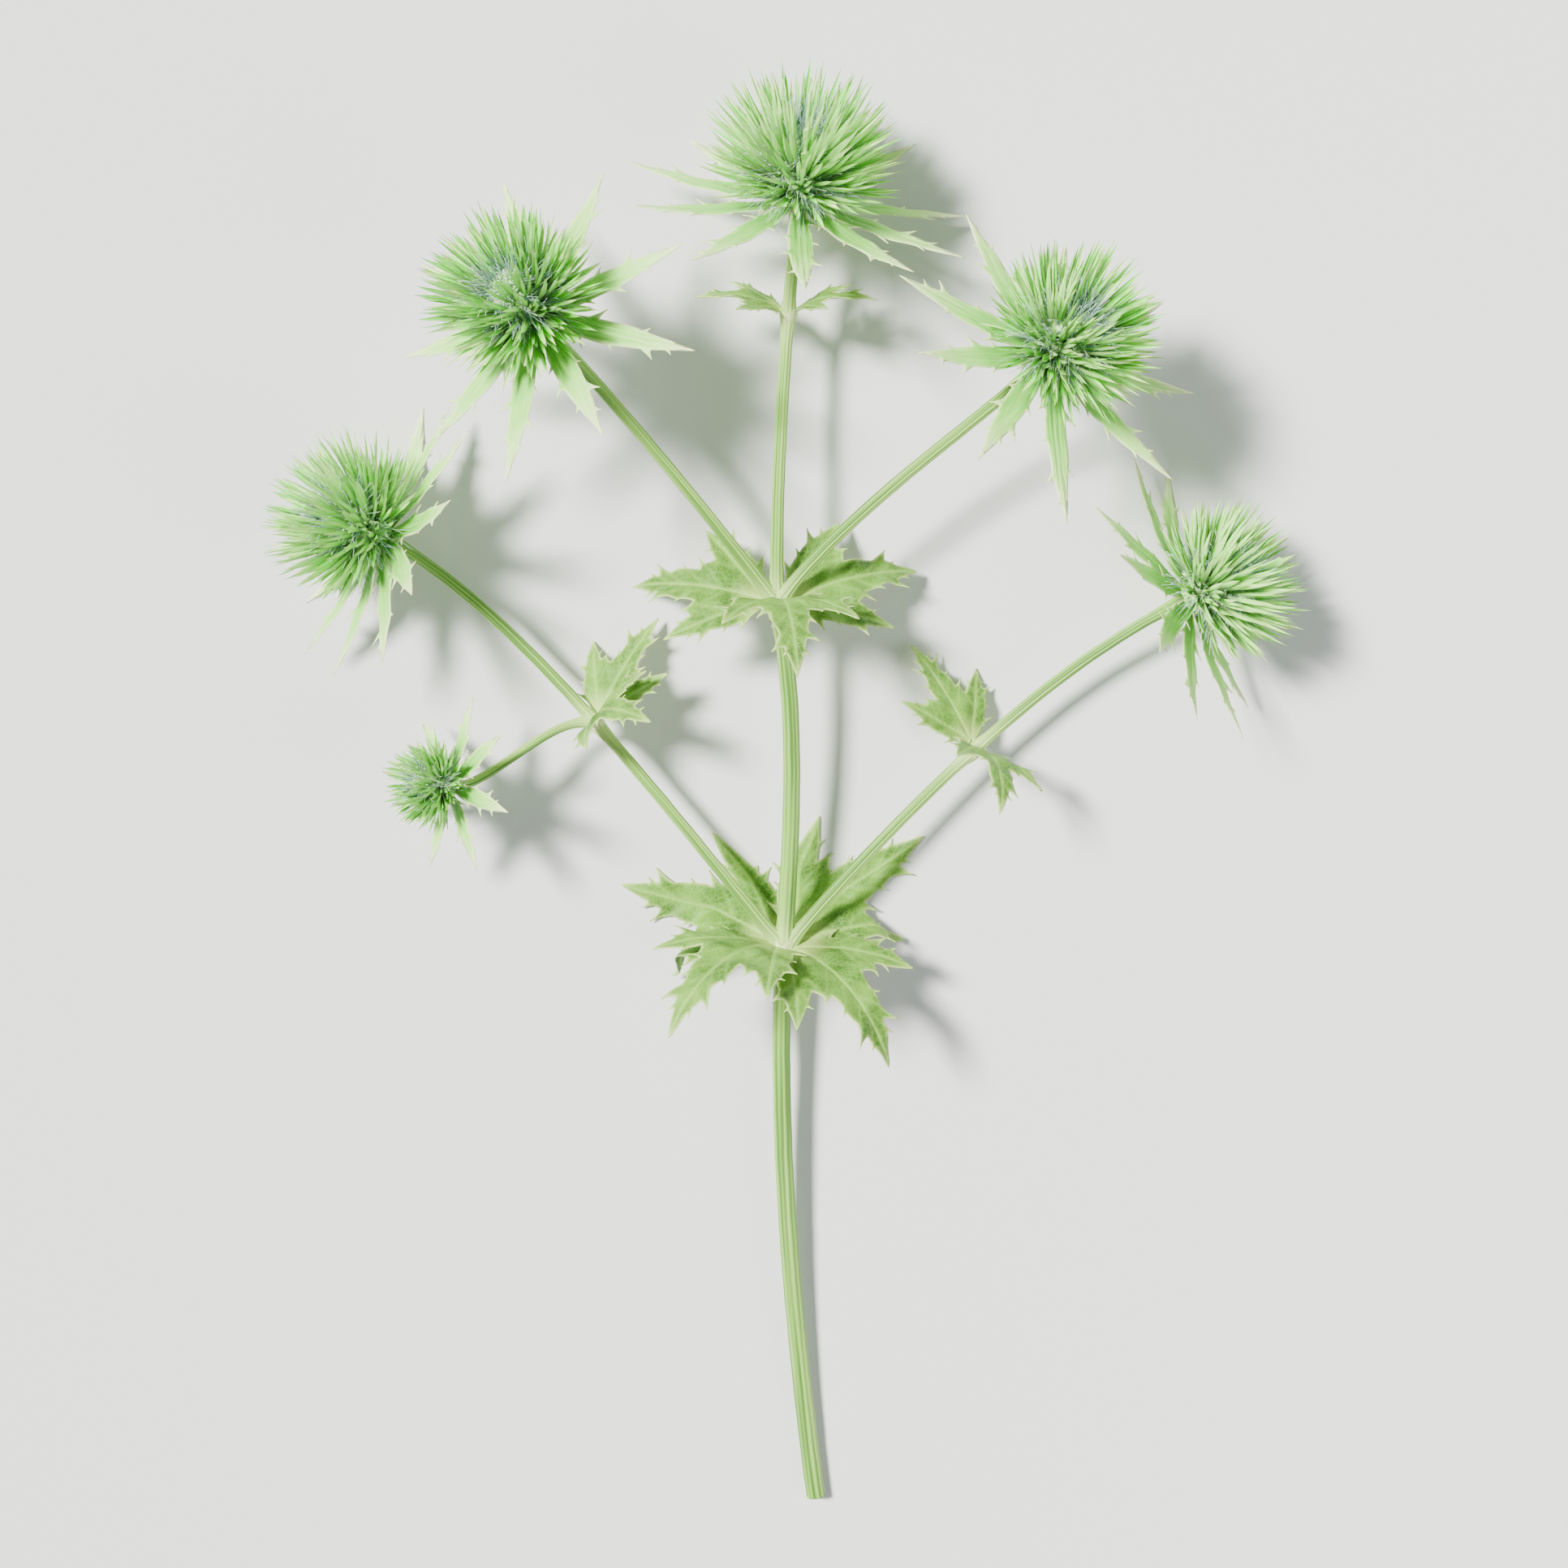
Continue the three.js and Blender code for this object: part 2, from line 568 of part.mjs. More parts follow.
for (const each of HEADS) {
  const group = groupAlong(each.base, each.axis);
  const surface = surfaceFor(group, RUFF.thickness / 2 - RUFF.pressed);
  const ruff = cutAtSurface(ruffSolid(each, surface), group.matrixWorld);
  addMesh(group, "flower_head_" + each.name, headSolid(each), "flower");
  addMesh(group, "bract_ruff_" + each.name, ruff, "bract");
}

for (const { joint, length, leaves } of WHORLS) {
  const group = groupAlong(JOINTS[joint].at, JOINTS[joint].along);
  const surface = surfaceFor(group, LEAF.thickness / 2 + LEAF.clearance);
  leaves.forEach(({ angle, reach, lean, bend, turn }, i) => {
    const around = THREE.MathUtils.degToRad(angle);
    const out = vec(Math.cos(around), Math.sin(around), 0);
    const root = out.clone().multiplyScalar(reach).setZ(LEAF.stagger * lean);
    const direction = out.clone().setZ(lean).normalize();
    const up = vec(0, 0, 1).addScaledVector(direction, -direction.z).normalize();
    up.applyAxisAngle(direction, THREE.MathUtils.degToRad(turn));
    const blade = leafSolid({ root, direction, up, length, bend, surface });
    addMesh(group, `leaf_${joint}_${i + 1}`, blade, "leaf");
  });
}

export default seaHolly;
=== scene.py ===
import math

import bpy
import numpy as np
from mathutils import Matrix, Vector
from mathutils.geometry import delaunay_2d_cdt


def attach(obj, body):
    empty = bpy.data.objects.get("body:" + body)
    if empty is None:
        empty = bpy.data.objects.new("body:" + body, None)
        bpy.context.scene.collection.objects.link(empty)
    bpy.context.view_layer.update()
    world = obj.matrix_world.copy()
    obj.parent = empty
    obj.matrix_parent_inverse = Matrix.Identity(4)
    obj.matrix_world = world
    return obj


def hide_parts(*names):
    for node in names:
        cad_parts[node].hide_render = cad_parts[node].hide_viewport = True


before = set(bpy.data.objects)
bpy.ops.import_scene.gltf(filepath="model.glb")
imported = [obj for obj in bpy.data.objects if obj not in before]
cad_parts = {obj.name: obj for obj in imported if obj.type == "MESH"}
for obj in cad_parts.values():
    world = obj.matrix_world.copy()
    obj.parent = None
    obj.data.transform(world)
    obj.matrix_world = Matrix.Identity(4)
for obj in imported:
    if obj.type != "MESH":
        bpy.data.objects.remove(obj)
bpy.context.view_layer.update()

# ---- Table top, light and camera ----
# The cut stem lies on a plain pale table top. A strong soft light falls on it from its upper left, and
# a weak, wide lamp stands on its right. The camera looks down on it, with the flower heads at the top.

TABLE_HALF = 20.0  # metres
STEM_MIDDLE = (0, 0.03, 0.02)  # metres
KEY_SPREAD = 11  # degrees across, which softens the shadows
CAMERA_TILT = 11.5  # degrees by which the camera looks back towards the cut end


def linked(name, data):
    """A new object in the scene, at the origin."""
    made = bpy.data.objects.new(name, data)
    bpy.context.scene.collection.objects.link(made)
    return made


table_corners = [(x * TABLE_HALF, y * TABLE_HALF, 0) for x, y in ((-1, -1), (1, -1), (1, 1), (-1, 1))]
table_mesh = bpy.data.meshes.new("table_top")
table_mesh.from_pydata(table_corners, [], [(0, 1, 2, 3)])
table_top = linked("table_top", table_mesh)
table_paint = bpy.data.materials.new("table_paint")
table_paint.use_nodes = True
table_paint.node_tree.nodes["Principled BSDF"].inputs["Base Color"].default_value = (0.8, 0.8, 0.79, 1)
table_paint.node_tree.nodes["Principled BSDF"].inputs["Roughness"].default_value = 0.75
table_mesh.materials.append(table_paint)


def soft_lamp(name, kind, at, strength, tint, **spread):
    """A lamp at a point, turned towards the middle of the stem."""
    light = bpy.data.lights.new(name, kind)
    light.energy = strength
    light.color = tint
    for setting, value in spread.items():
        setattr(light, setting, value)
    lamp = linked(name, light)
    lamp.location = at
    lamp.rotation_euler = (Vector(STEM_MIDDLE) - lamp.location).to_track_quat("-Z", "Y").to_euler()


soft_lamp("key_lamp", "SUN", (-0.75, 0.55, 1.15), 10.3, (1.0, 0.99, 0.95), angle=math.radians(KEY_SPREAD))
soft_lamp("fill_lamp", "AREA", (0.95, -0.35, 0.9), 7, (0.95, 0.98, 1.0), size=0.9)

studio = bpy.data.worlds.new("studio")
studio.use_nodes = True
studio.node_tree.nodes["Background"].inputs["Color"].default_value = (0.9, 0.95, 1.0, 1)
studio.node_tree.nodes["Background"].inputs["Strength"].default_value = 0.28
bpy.context.scene.world = studio

camera_data = bpy.data.cameras.new("camera")
camera_data.lens = 68
camera = linked("camera", camera_data)
camera.location = (0.0, 0.185, 0.87)
camera.rotation_euler = (math.radians(-CAMERA_TILT), 0, 0)
bpy.context.scene.camera = camera

# ---- The stem ----
# A fleshy pale green stalk with fine ribs along its whole length, cut off square at its foot. It
# branches at its joints, which swell a little, and every branch flares into a seat under its head.

MM = 0.001
RIBS = 10
RIB_CORNERS = 4  # corners round the stalk for each rib
RIB_DEPTH = 0.035  # share of the radius
WOBBLE = 0.35  # mm of play in which the skin strays
PATTERN_LENGTH = 9.0  # of a metre of stalk, in a pattern that runs round a circle of radius 1
FOOT_RADIUS = 2.85  # mm, at the cut
LOWER_RADIUS = 2.55  # at the lower joint
UPPER_RADIUS = 2.3  # at the upper joint
BRANCH_RADIUS = 1.7
SEAT_RADIUS = 2.85  # under a head
THINNEST = 0.55  # share of those two radii that a branch keeps, however small its head
FLARE_FROM = 0.9  # share of a branch's length where it starts to open out
FORK_SWELL = 0.6  # mm that a branch is thicker where it leaves its joint
NECK = 2.8  # mm from the end of a branch to the base of its head's dome
JOINT_SPREAD = 4.2  # mm either side of a joint over which it swells
PALE_SPREAD = 9  # mm either side of a joint over which the skin pales

# Each head: the base of its dome in mm, the way it faces, and its size against the largest one.
HEADS = {
    "top": {"base": (4, 181, 28.5), "facing": (0.08, 0.9, 0.38), "size": 1.0},
    "upper_left": {"base": (-68, 150, 60), "facing": (-0.38, 0.5, 0.78), "size": 0.9},
    "upper_right": {"base": (73, 139, 54), "facing": (0.44, 0.54, 0.72), "size": 0.92},
    "lower_left": {"base": (-116, 86, 25.3), "facing": (-0.78, 0.5, 0.38), "size": 0.9},
    "lower_right": {"base": (118, 68, 24), "facing": (0.8, 0.46, 0.38), "size": 0.88},
    "bud": {"base": (-98, 14, 31), "facing": (-0.76, 0.2, 0.6), "size": 0.5},
}


class Wire:
    """An output of a node: sums and products of wires add Math nodes to its tree."""

    def __init__(self, tree, socket=None):
        self.tree = tree
        self.socket = socket

    def node(self, kind, settings=None, values=None, output=0):
        """Adds a node with these settings and these values, wires or lists of wires on its inputs."""
        made = self.tree.nodes.new(kind)
        for setting, value in (settings or {}).items():
            if setting == "stops":
                ramp = made.color_ramp.elements
                for place, _ in value[2:]:
                    ramp.new(place)
                for stop, (place, colour) in zip(ramp, value):
                    stop.position = place
                    stop.color = (*colour, 1)
            else:
                setattr(made, setting, value)
        for name, value in (values or {}).items():
            wires = value if isinstance(value, list) else [value]
            if isinstance(wires[0], Wire):
                for wire in wires:
                    self.tree.links.new(wire.socket, made.inputs[name])
            else:
                made.inputs[name].default_value = value
        return Wire(self.tree, made.outputs[output]) if made.outputs else None

    def math(self, operation, *values):
        return self.node("ShaderNodeMath", {"operation": operation}, dict(enumerate(values)))

    def __add__(self, other):
        return self.math("ADD", self, other)

    def __sub__(self, other):
        return self.math("SUBTRACT", self, other)

    def __rsub__(self, other):
        return self.math("SUBTRACT", other, self)

    def __mul__(self, other):
        return self.math("MULTIPLY", self, other)

    def __truediv__(self, other):
        return self.math("DIVIDE", self, other)

    __radd__ = __add__
    __rmul__ = __mul__


def new_rule(name, inputs):
    """Starts a Geometry Nodes rule with named inputs, and gives its tree and a wire for each input."""
    tree = bpy.data.node_groups.new(name, "GeometryNodeTree")
    tree.interface.new_socket("Result", in_out="OUTPUT", socket_type="NodeSocketGeometry")
    for label, kind in {"Geometry": "Geometry", **inputs}.items():
        tree.interface.new_socket(label, in_out="INPUT", socket_type="NodeSocket" + kind)
    start = tree.nodes.new("NodeGroupInput")
    return Wire(tree), {label: Wire(tree, start.outputs[label]) for label in ("Geometry", *inputs)}


def painted(rule, geometry, name, value, data_type="FLOAT"):
    """Stores a value on a geometry under a name."""
    return rule.node("GeometryNodeStoreNamedAttribute", {"data_type": data_type},
                     {"Geometry": geometry, "Name": name, "Value": value})


def recalled(rule, name):
    """The value stored under a name."""
    return rule.node("GeometryNodeInputNamedAttribute", values={"Name": name})


def end_rule(rule, grown, skin):
    """Ends a rule: what it grew becomes one plain mesh in its skin."""
    real = rule.node("GeometryNodeRealizeInstances", values={"Geometry": grown})
    dressed = rule.node("GeometryNodeSetMaterial", values={"Geometry": real, "Material": skin})
    rule.node("NodeGroupOutput", values={"Result": dressed})
    return rule.tree


def grow(name, rule, source, **values):
    """Runs a rule on a source mesh and keeps the result as a piece of plain mesh."""
    bearer = linked(name + "_source", source)
    modifier = bearer.modifiers.new("growth", "NODES")
    modifier.node_group = rule
    for item in rule.interface.items_tree:
        label = item.name.replace(" ", "_")
        if item.in_out == "INPUT" and label in values:
            modifier[item.identifier] = values[label]
    evaluated = bearer.evaluated_get(bpy.context.evaluated_depsgraph_get())
    mesh = bpy.data.meshes.new_from_object(evaluated)
    bpy.data.objects.remove(bearer)
    return linked(name, mesh)


def new_skin(name, **constants):
    """A material with its constant values set, its tree to add to and its shader."""
    material = bpy.data.materials.new(name)
    material.use_nodes = True
    shader = material.node_tree.nodes["Principled BSDF"]
    for label, value in constants.items():
        shader.inputs[label.replace("_", " ")].default_value = value
    return material, Wire(material.node_tree), shader


def dress(shader, colour, roughness, height, depth):
    """Links what varies over a skin: its colour, its roughness and a relief of a given depth."""
    tree = shader.id_data
    bump = Wire(tree).node("ShaderNodeBump", values={"Distance": depth, "Height": height})
    tree.links.new(colour.socket, shader.inputs["Base Color"])
    tree.links.new(roughness.socket, shader.inputs["Roughness"])
    tree.links.new(bump.socket, shader.inputs["Normal"])


def marked(skin, name, output="Fac"):
    """A value painted on the mesh under a name."""
    return skin.node("ShaderNodeAttribute", {"attribute_name": name}, output=output)


def mixed(skin, share, first, second):
    """A blend of two colours."""
    first, second = (c if isinstance(c, Wire) else (*c, 1) for c in (first, second))
    return skin.node("ShaderNodeMix", {"data_type": "RGBA"}, {0: share, 6: first, 7: second}, output=2)


def run_of(skin, share, *stops):
    """A run of colours, each at its share of the way."""
    return skin.node("ShaderNodeValToRGB", {"stops": stops}, {"Fac": share})


def ranged(skin, value, none, full, most=1.0, fade="LINEAR"):
    """Nothing where a value stands at one end of a range, and the most where it stands at the other."""
    return skin.node("ShaderNodeMapRange", {"interpolation_type": fade},
                     {"Value": value, "From Min": none, "From Max": full, "To Max": most})


def spots(skin, scale, detail=3.0, vector=None):
    """Cloudy spots, by default spread over the object as it lies."""
    where = vector or skin.node("ShaderNodeTexCoord", output="Object")
    return skin.node("ShaderNodeTexNoise", values={"Vector": where, "Scale": scale, "Detail": detail})


# Pale yellowish green skin. Some of the furrows are dark green for a long way, others hardly show.
# Clouds of paler skin lie over it, and it pales at the joints.
stem_skin, skin, shader = new_skin("stem_skin", Specular_IOR_Level=0.35)
rib = marked(skin, "rib")
grain = marked(skin, "grain", "Vector")
streak = spots(skin, 3.2, 4.0, grain)
band = spots(skin, 1.1, 1.0, grain)
cloud = spots(skin, 1.7, 3.0, grain)
furrow = ranged(skin, rib * 0.9 + (band - 0.5) * 3.2 + (streak - 0.5) * 0.7, 0.75, 0.0)
green = mixed(skin, streak, (0.36, 0.66, 0.11), (0.22, 0.48, 0.06))
green = mixed(skin, furrow * 0.9, green, (0.05, 0.17, 0.015))
green = mixed(skin, ranged(skin, cloud, 0.5, 0.75, 0.5), green, (0.5, 0.7, 0.2))
green = mixed(skin, marked(skin, "knot") * 0.6, green, (0.66, 0.84, 0.3))
dress(shader, green, 0.4 + streak * 0.2, rib * 0.5 + streak * 0.5, 0.00025)

# The rule: a ribbed ring is drawn along the stalk, as thick at each point as the stalk is there, and
# the skin then strays a little in and out. Its pattern is laid out lengthwise, as on a cylinder.
rule, given = new_rule("ribbed stalk", {
    "ribs": "Int", "rib depth": "Float", "wobble": "Float", "skin": "Material"})
corners = given["ribs"] * float(RIB_CORNERS)
corner = rule.node("GeometryNodeInputIndex")
wave = rule.math("COSINE", corner * (2 * math.pi / RIB_CORNERS))
ring = rule.node("GeometryNodeCurvePrimitiveCircle", values={"Resolution": corners, "Radius": 1.0})
here = rule.node("GeometryNodeInputPosition")
ribbed = rule.node("ShaderNodeVectorMath", {"operation": "SCALE"}, {
    0: here, "Scale": 1 + given["rib depth"] * wave})
ring = rule.node("GeometryNodeSetPosition", values={"Geometry": ring, "Position": ribbed})
ring = painted(rule, ring, "rib", wave * 0.5 + 0.5)
ring = painted(rule, ring, "spin", corner / corners * (2 * math.pi))
path = rule.node("GeometryNodeMeshToCurve", values={"Mesh": given["Geometry"]})
path = painted(rule, path, "along", rule.node("GeometryNodeSplineParameter", output="Length"))
stalk = rule.node("GeometryNodeCurveToMesh", values={
    "Curve": path, "Profile Curve": ring, "Scale": recalled(rule, "thick"), "Fill Caps": True})
spin = recalled(rule, "spin")
grain = rule.node("ShaderNodeCombineXYZ", values={
    "X": rule.math("COSINE", spin), "Y": rule.math("SINE", spin),
    "Z": recalled(rule, "along") * PATTERN_LENGTH})
stalk = painted(rule, stalk, "grain", grain, "FLOAT_VECTOR")
shift = rule.node("ShaderNodeTexNoise", values={"Scale": 120.0, "Detail": 2.0}, output="Color")
shift = rule.node("ShaderNodeVectorMath", {"operation": "SUBTRACT"}, {0: shift, 1: (0.5, 0.5, 0.5)})
shift = rule.node("ShaderNodeVectorMath", {"operation": "SCALE"}, {0: shift, "Scale": given["wobble"]})
stalk = rule.node("GeometryNodeSetPosition", values={"Geometry": stalk, "Offset": shift})
stalk = rule.node("GeometryNodeSetShadeSmooth", values={"Geometry": stalk})
stalk_rule = end_rule(rule, stalk, given["skin"])


def bezier(a, b, c, d, steps):
    """Points in mm on the curve from a to d that leaves towards b and arrives from c."""
    a, b, c, d = (Vector(p) for p in (a, b, c, d))
    shares = [i / steps for i in range(steps + 1)]
    return [a * (1 - t) ** 3 + b * 3 * t * (1 - t) ** 2 + c * 3 * t * t * (1 - t) + d * t ** 3
            for t in shares]


def branch_to(head, start, leaving, reach, steps):
    """Points in mm from a joint to the seat under a head."""
    facing = Vector(HEADS[head]["facing"]).normalized()
    seat = Vector(HEADS[head]["base"]) - facing * NECK
    first_pull = Vector(start) + Vector(leaving).normalized() * reach
    return bezier(start, first_pull, seat - facing * reach * 0.9, seat, steps)


LOWER_JOINT = Vector((0, -39, 15))
UPPER_JOINT = Vector((-2, 66, 26))
lower_stalk = bezier((10, -219.3, 2.95), (3, -165, 3.6), (-3, -95, 11), LOWER_JOINT, 80)
upper_stalk = bezier(LOWER_JOINT, (1.7, -8, 17.2), (5, 30, 22), UPPER_JOINT, 50)
top_branch = branch_to("top", UPPER_JOINT, (-0.02, 1, 0.05), 36, 50)
left_branch = branch_to("lower_left", LOWER_JOINT, (-0.62, 0.8, 0.14), 52, 60)
right_branch = branch_to("lower_right", LOWER_JOINT, (0.62, 0.8, 0.14), 52, 60)
side_branches = {
    "upper_left": branch_to("upper_left", UPPER_JOINT, (-0.55, 0.8, 0.3), 36, 50),
    "upper_right": branch_to("upper_right", UPPER_JOINT, (0.55, 0.8, 0.26), 36, 50),
    "lower_left": left_branch,
    "lower_right": right_branch,
    "bud": branch_to("bud", left_branch[30], (-0.9, 0.3, 0.25), 14, 40),
}
# Every joint: its middle, the way the stalk runs through it, and the radius it swells to.
JOINTS = {
    "lower": {"at": LOWER_JOINT, "along": (0, 1, 0.1), "radius": 3.4},
    "upper": {"at": UPPER_JOINT, "along": (0, 1, 0.1), "radius": 3.0},
    "left": {"at": left_branch[30], "along": (-0.6, 0.8, 0.1), "radius": 2.3},
    "right": {"at": right_branch[30], "along": (0.6, 0.8, 0.1), "radius": 2.3},
    "top": {"at": top_branch[35], "along": (0.05, 1, 0), "radius": 2.2},
}


def swollen(point, radius):
    """The radius at a point once the joints near it have swollen."""
    for joint in JOINTS.values():
        near = math.exp(-((point - joint["at"]).length / JOINT_SPREAD) ** 2)
        radius += max(0.0, joint["radius"] - radius) * near
    return radius


def taper(start, end, steps):
    """Radii that change evenly from one to another."""
    return [start + (end - start) * i / steps for i in range(steps + 1)]


def branch_radii(steps, size, fade):
    """Radii along a branch: thicker where it leaves its joint, and opening out under its head."""
    radii = []
    for i in range(steps + 1):
        t = i / steps
        opening = max(0.0, (t - FLARE_FROM) / (1 - FLARE_FROM)) ** 2
        radius = BRANCH_RADIUS + (SEAT_RADIUS - BRANCH_RADIUS) * opening
        radii.append((THINNEST + (1 - THINNEST) * size) * radius + FORK_SWELL * math.exp(-t * fade))
    return radii


def grow_stalk(name, points, radii):
    """One ribbed stalk through a row of points in mm, with its radius in mm at each of them."""
    source = bpy.data.meshes.new(name)
    source.from_pydata([p * MM for p in points], [(i, i + 1) for i in range(len(points) - 1)], [])
    marks = {
        "thick": [swollen(p, r) * MM for p, r in zip(points, radii)],
        "knot": [max(math.exp(-((p - joint["at"]).length / PALE_SPREAD) ** 2) for joint in JOINTS.values())
                 for p in points],
    }
    for mark, values in marks.items():
        source.attributes.new(mark, "FLOAT", "POINT").data.foreach_set("value", values)
    stalk = grow(name, stalk_rule, source,
                 ribs=RIBS, rib_depth=RIB_DEPTH, wobble=WOBBLE * MM, skin=stem_skin)
    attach(stalk, "root")
    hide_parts("stem")


main_radii = taper(FOOT_RADIUS, LOWER_RADIUS, 80) + taper(LOWER_RADIUS, UPPER_RADIUS, 50)[1:]
main_radii += branch_radii(50, HEADS["top"]["size"], 10)[1:]
grow_stalk("main_stalk", lower_stalk + upper_stalk[1:] + top_branch[1:], main_radii)
for head, points in side_branches.items():
    grow_stalk("branch_" + head, points, branch_radii(len(points) - 1, HEADS[head]["size"], 14))

# ---- The cut ----
# The face that the knife left at the foot of the stalk: a thin green rind, a ring of pale fibres and
# spongy, almost white pith that has dried back a little in the middle.

CUT_RADIUS = 2.84  # mm
CUT_PROUD = 0.12  # mm that the rind stands out of the stalk's end
CUT_MIDDLE = -0.06  # mm, against the rind
# From the middle out over the rind and back into the stalk: share of the radius, and height in mm.
CUT_ROWS = [(0.3, -0.05), (0.55, 0.0), (0.76, 0.07), (0.9, 0.1), (1.0, 0.0), (1.0, -0.5)]
CUT_SIDES = 40

cut_skin, skin, shader = new_skin("cut_skin", Specular_IOR_Level=0.3)
pores = spots(skin, 2600, 2.0)
pale = run_of(skin, marked(skin, "from_middle") + (pores - 0.5) * 0.16,
              (0.0, (0.62, 0.66, 0.3)), (0.5, (0.78, 0.84, 0.46)), (0.72, (0.4, 0.6, 0.16)),
              (0.8, (0.62, 0.78, 0.3)), (0.97, (0.14, 0.36, 0.04)))
dress(shader, pale, 0.6 + pores * 0.25, pores, 0.0003)


def ring_of(sides):
    """The angle of each corner of a ring, with its cosine and sine."""
    angles = [2 * math.pi * j / sides for j in range(sides)]
    return [(angle, math.cos(angle), math.sin(angle)) for angle in angles]


def between(low, high, sides):
    """The faces between two rings of points, each given by the number of its first point."""
    return [(low + j, low + (j + 1) % sides, high + (j + 1) % sides, high + j) for j in range(sides)]


def new_mesh(name, points, faces, marks=None, smooth=True, unit=MM):
    """A mesh from points in a unit of length, with the values painted on it."""
    mesh = bpy.data.meshes.new(name)
    mesh.from_pydata([Vector(p) * unit for p in points], [], faces)
    for mark, values in (marks or {}).items():
        mesh.attributes.new(mark, "FLOAT", "POINT").data.foreach_set("value", values)
    mesh.polygons.foreach_set("use_smooth", [smooth] * len(mesh.polygons))
    return mesh


def plain_piece(name, points, faces, skin, marks):
    """A piece from points in mm, with its skin and its painted values."""
    mesh = new_mesh(name, points, faces, marks)
    mesh.materials.append(skin)
    return linked(name, mesh)


foot = lower_stalk[0]
knife_way = (foot - lower_stalk[1]).normalized()
knife_side = knife_way.cross(Vector((0, 0, 1))).normalized()
knife_up = knife_side.cross(knife_way)
cut_points, cut_marks = [foot + knife_way * (CUT_PROUD + CUT_MIDDLE)], [0.0]
for share, height in CUT_ROWS:
    for _, c, s in ring_of(CUT_SIDES):
        out = knife_side * c + knife_up * s
        cut_points.append(foot + out * CUT_RADIUS * share + knife_way * (CUT_PROUD + height))
        cut_marks.append(share)
cut_faces = [(0, 1 + j, 1 + (j + 1) % CUT_SIDES) for j in range(CUT_SIDES)]
back = 1 + (len(CUT_ROWS) - 1) * CUT_SIDES
for low in range(1, back, CUT_SIDES):
    cut_faces += [(a, d, c, b) for a, b, c, d in between(low, low + CUT_SIDES, CUT_SIDES)]
cut_faces.append(tuple(reversed(range(back, back + CUT_SIDES))))
cut_face = plain_piece("cut_face", cut_points, cut_faces, cut_skin, {"from_middle": cut_marks})
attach(cut_face, "root")
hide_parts("stem")

# ---- Sheaths ----
# At every joint the feet of the leaves run together into a pale, slightly swollen sheath. It clasps
# the stalk closely below, opens a little above, and stands up higher behind each leaf.

# Each whorl: the length of its leaves in mm, and for each leaf the angle it stands at about the joint,
# how far out its root is, how far it leans along the stalk, how fast it bends back and how far it is
# turned about its rib.
WHORLS = {
    "lower": (52, [(-121, 3.76, 0.4, 0.01, -30), (-40, 3.9, 0.5, 0.03, -5), (38, 3.72, 0.2, 0.03, 10),
                   (128, 3.9, 0.7, 0.01, 30)]),
    "upper": (44, [(-98, 3.38, 0.3, 0.018, -45), (8, 3.4, 0.5, 0.034, 0), (102, 3.57, 0.4, 0.018, 45)]),
    "left": (34, [(25, 2.6, 0.5, 0.035, 10), (105, 2.45, 0.5, 0.012, 40)]),
    "right": (34, [(15, 2.5, 0.5, 0.035, 10), (-105, 2.45, 0.5, 0.012, -40)]),
    "top": (25, [(-75, 2.5, 0.5, 0.03, -20), (60, 2.5, 0.6, 0.03, 20)]),
}
SHEATH_SIDES = 60
# Up the outside and down the inside: share of the sheath's height, and mm off the stalk there.
SHEATH_ROWS = [(0.0, -0.5), (0.14, -0.26), (0.28, -0.08), (0.45, 0.08), (0.65, 0.22), (0.85, 0.34),
               (0.96, 0.46), (1.0, 0.5), (0.97, 0.3), (0.7, 0.0), (0.4, -0.5)]
SHEATH_FOOT = 1.7  # of the joint's radius, from the joint's middle down to the sheath's lower edge
SHEATH_RIM = 0.28  # of that radius, up to its upper edge between the leaves
BEHIND_LEAF = 0.75  # of that radius, by which the edge stands higher behind a leaf
PLEATS = 11
PLEAT_DEPTH = 0.03  # of that radius

sheath_skin, skin, shader = new_skin("sheath_skin", Specular_IOR_Level=0.35)
vein = marked(skin, "vein")
cloud = spots(skin, 260, 4.0)
face = run_of(skin, marked(skin, "along") + (cloud - 0.5) * 0.5,
              (0.0, (0.5, 0.78, 0.16)), (0.35, (0.7, 0.86, 0.32)), (0.75, (0.88, 0.92, 0.5)),
              (1.0, (0.8, 0.9, 0.4)))
face = mixed(skin, vein * 0.45, face, (0.32, 0.58, 0.1))
dress(shader, face, 0.5 + cloud * 0.2, vein * 0.6 + cloud * 0.4, 0.0003)


def facing_frame(at, facing):
    """A frame in mm whose +Z faces a given way and whose +X is its uppermost side."""
    ahead = Vector(facing).normalized()
    across = ahead.cross(Vector((0, 0, 1))).normalized()
    upper = across.cross(ahead)
    return Matrix.Translation(at) @ Matrix((upper, across, ahead)).transposed().to_4x4()


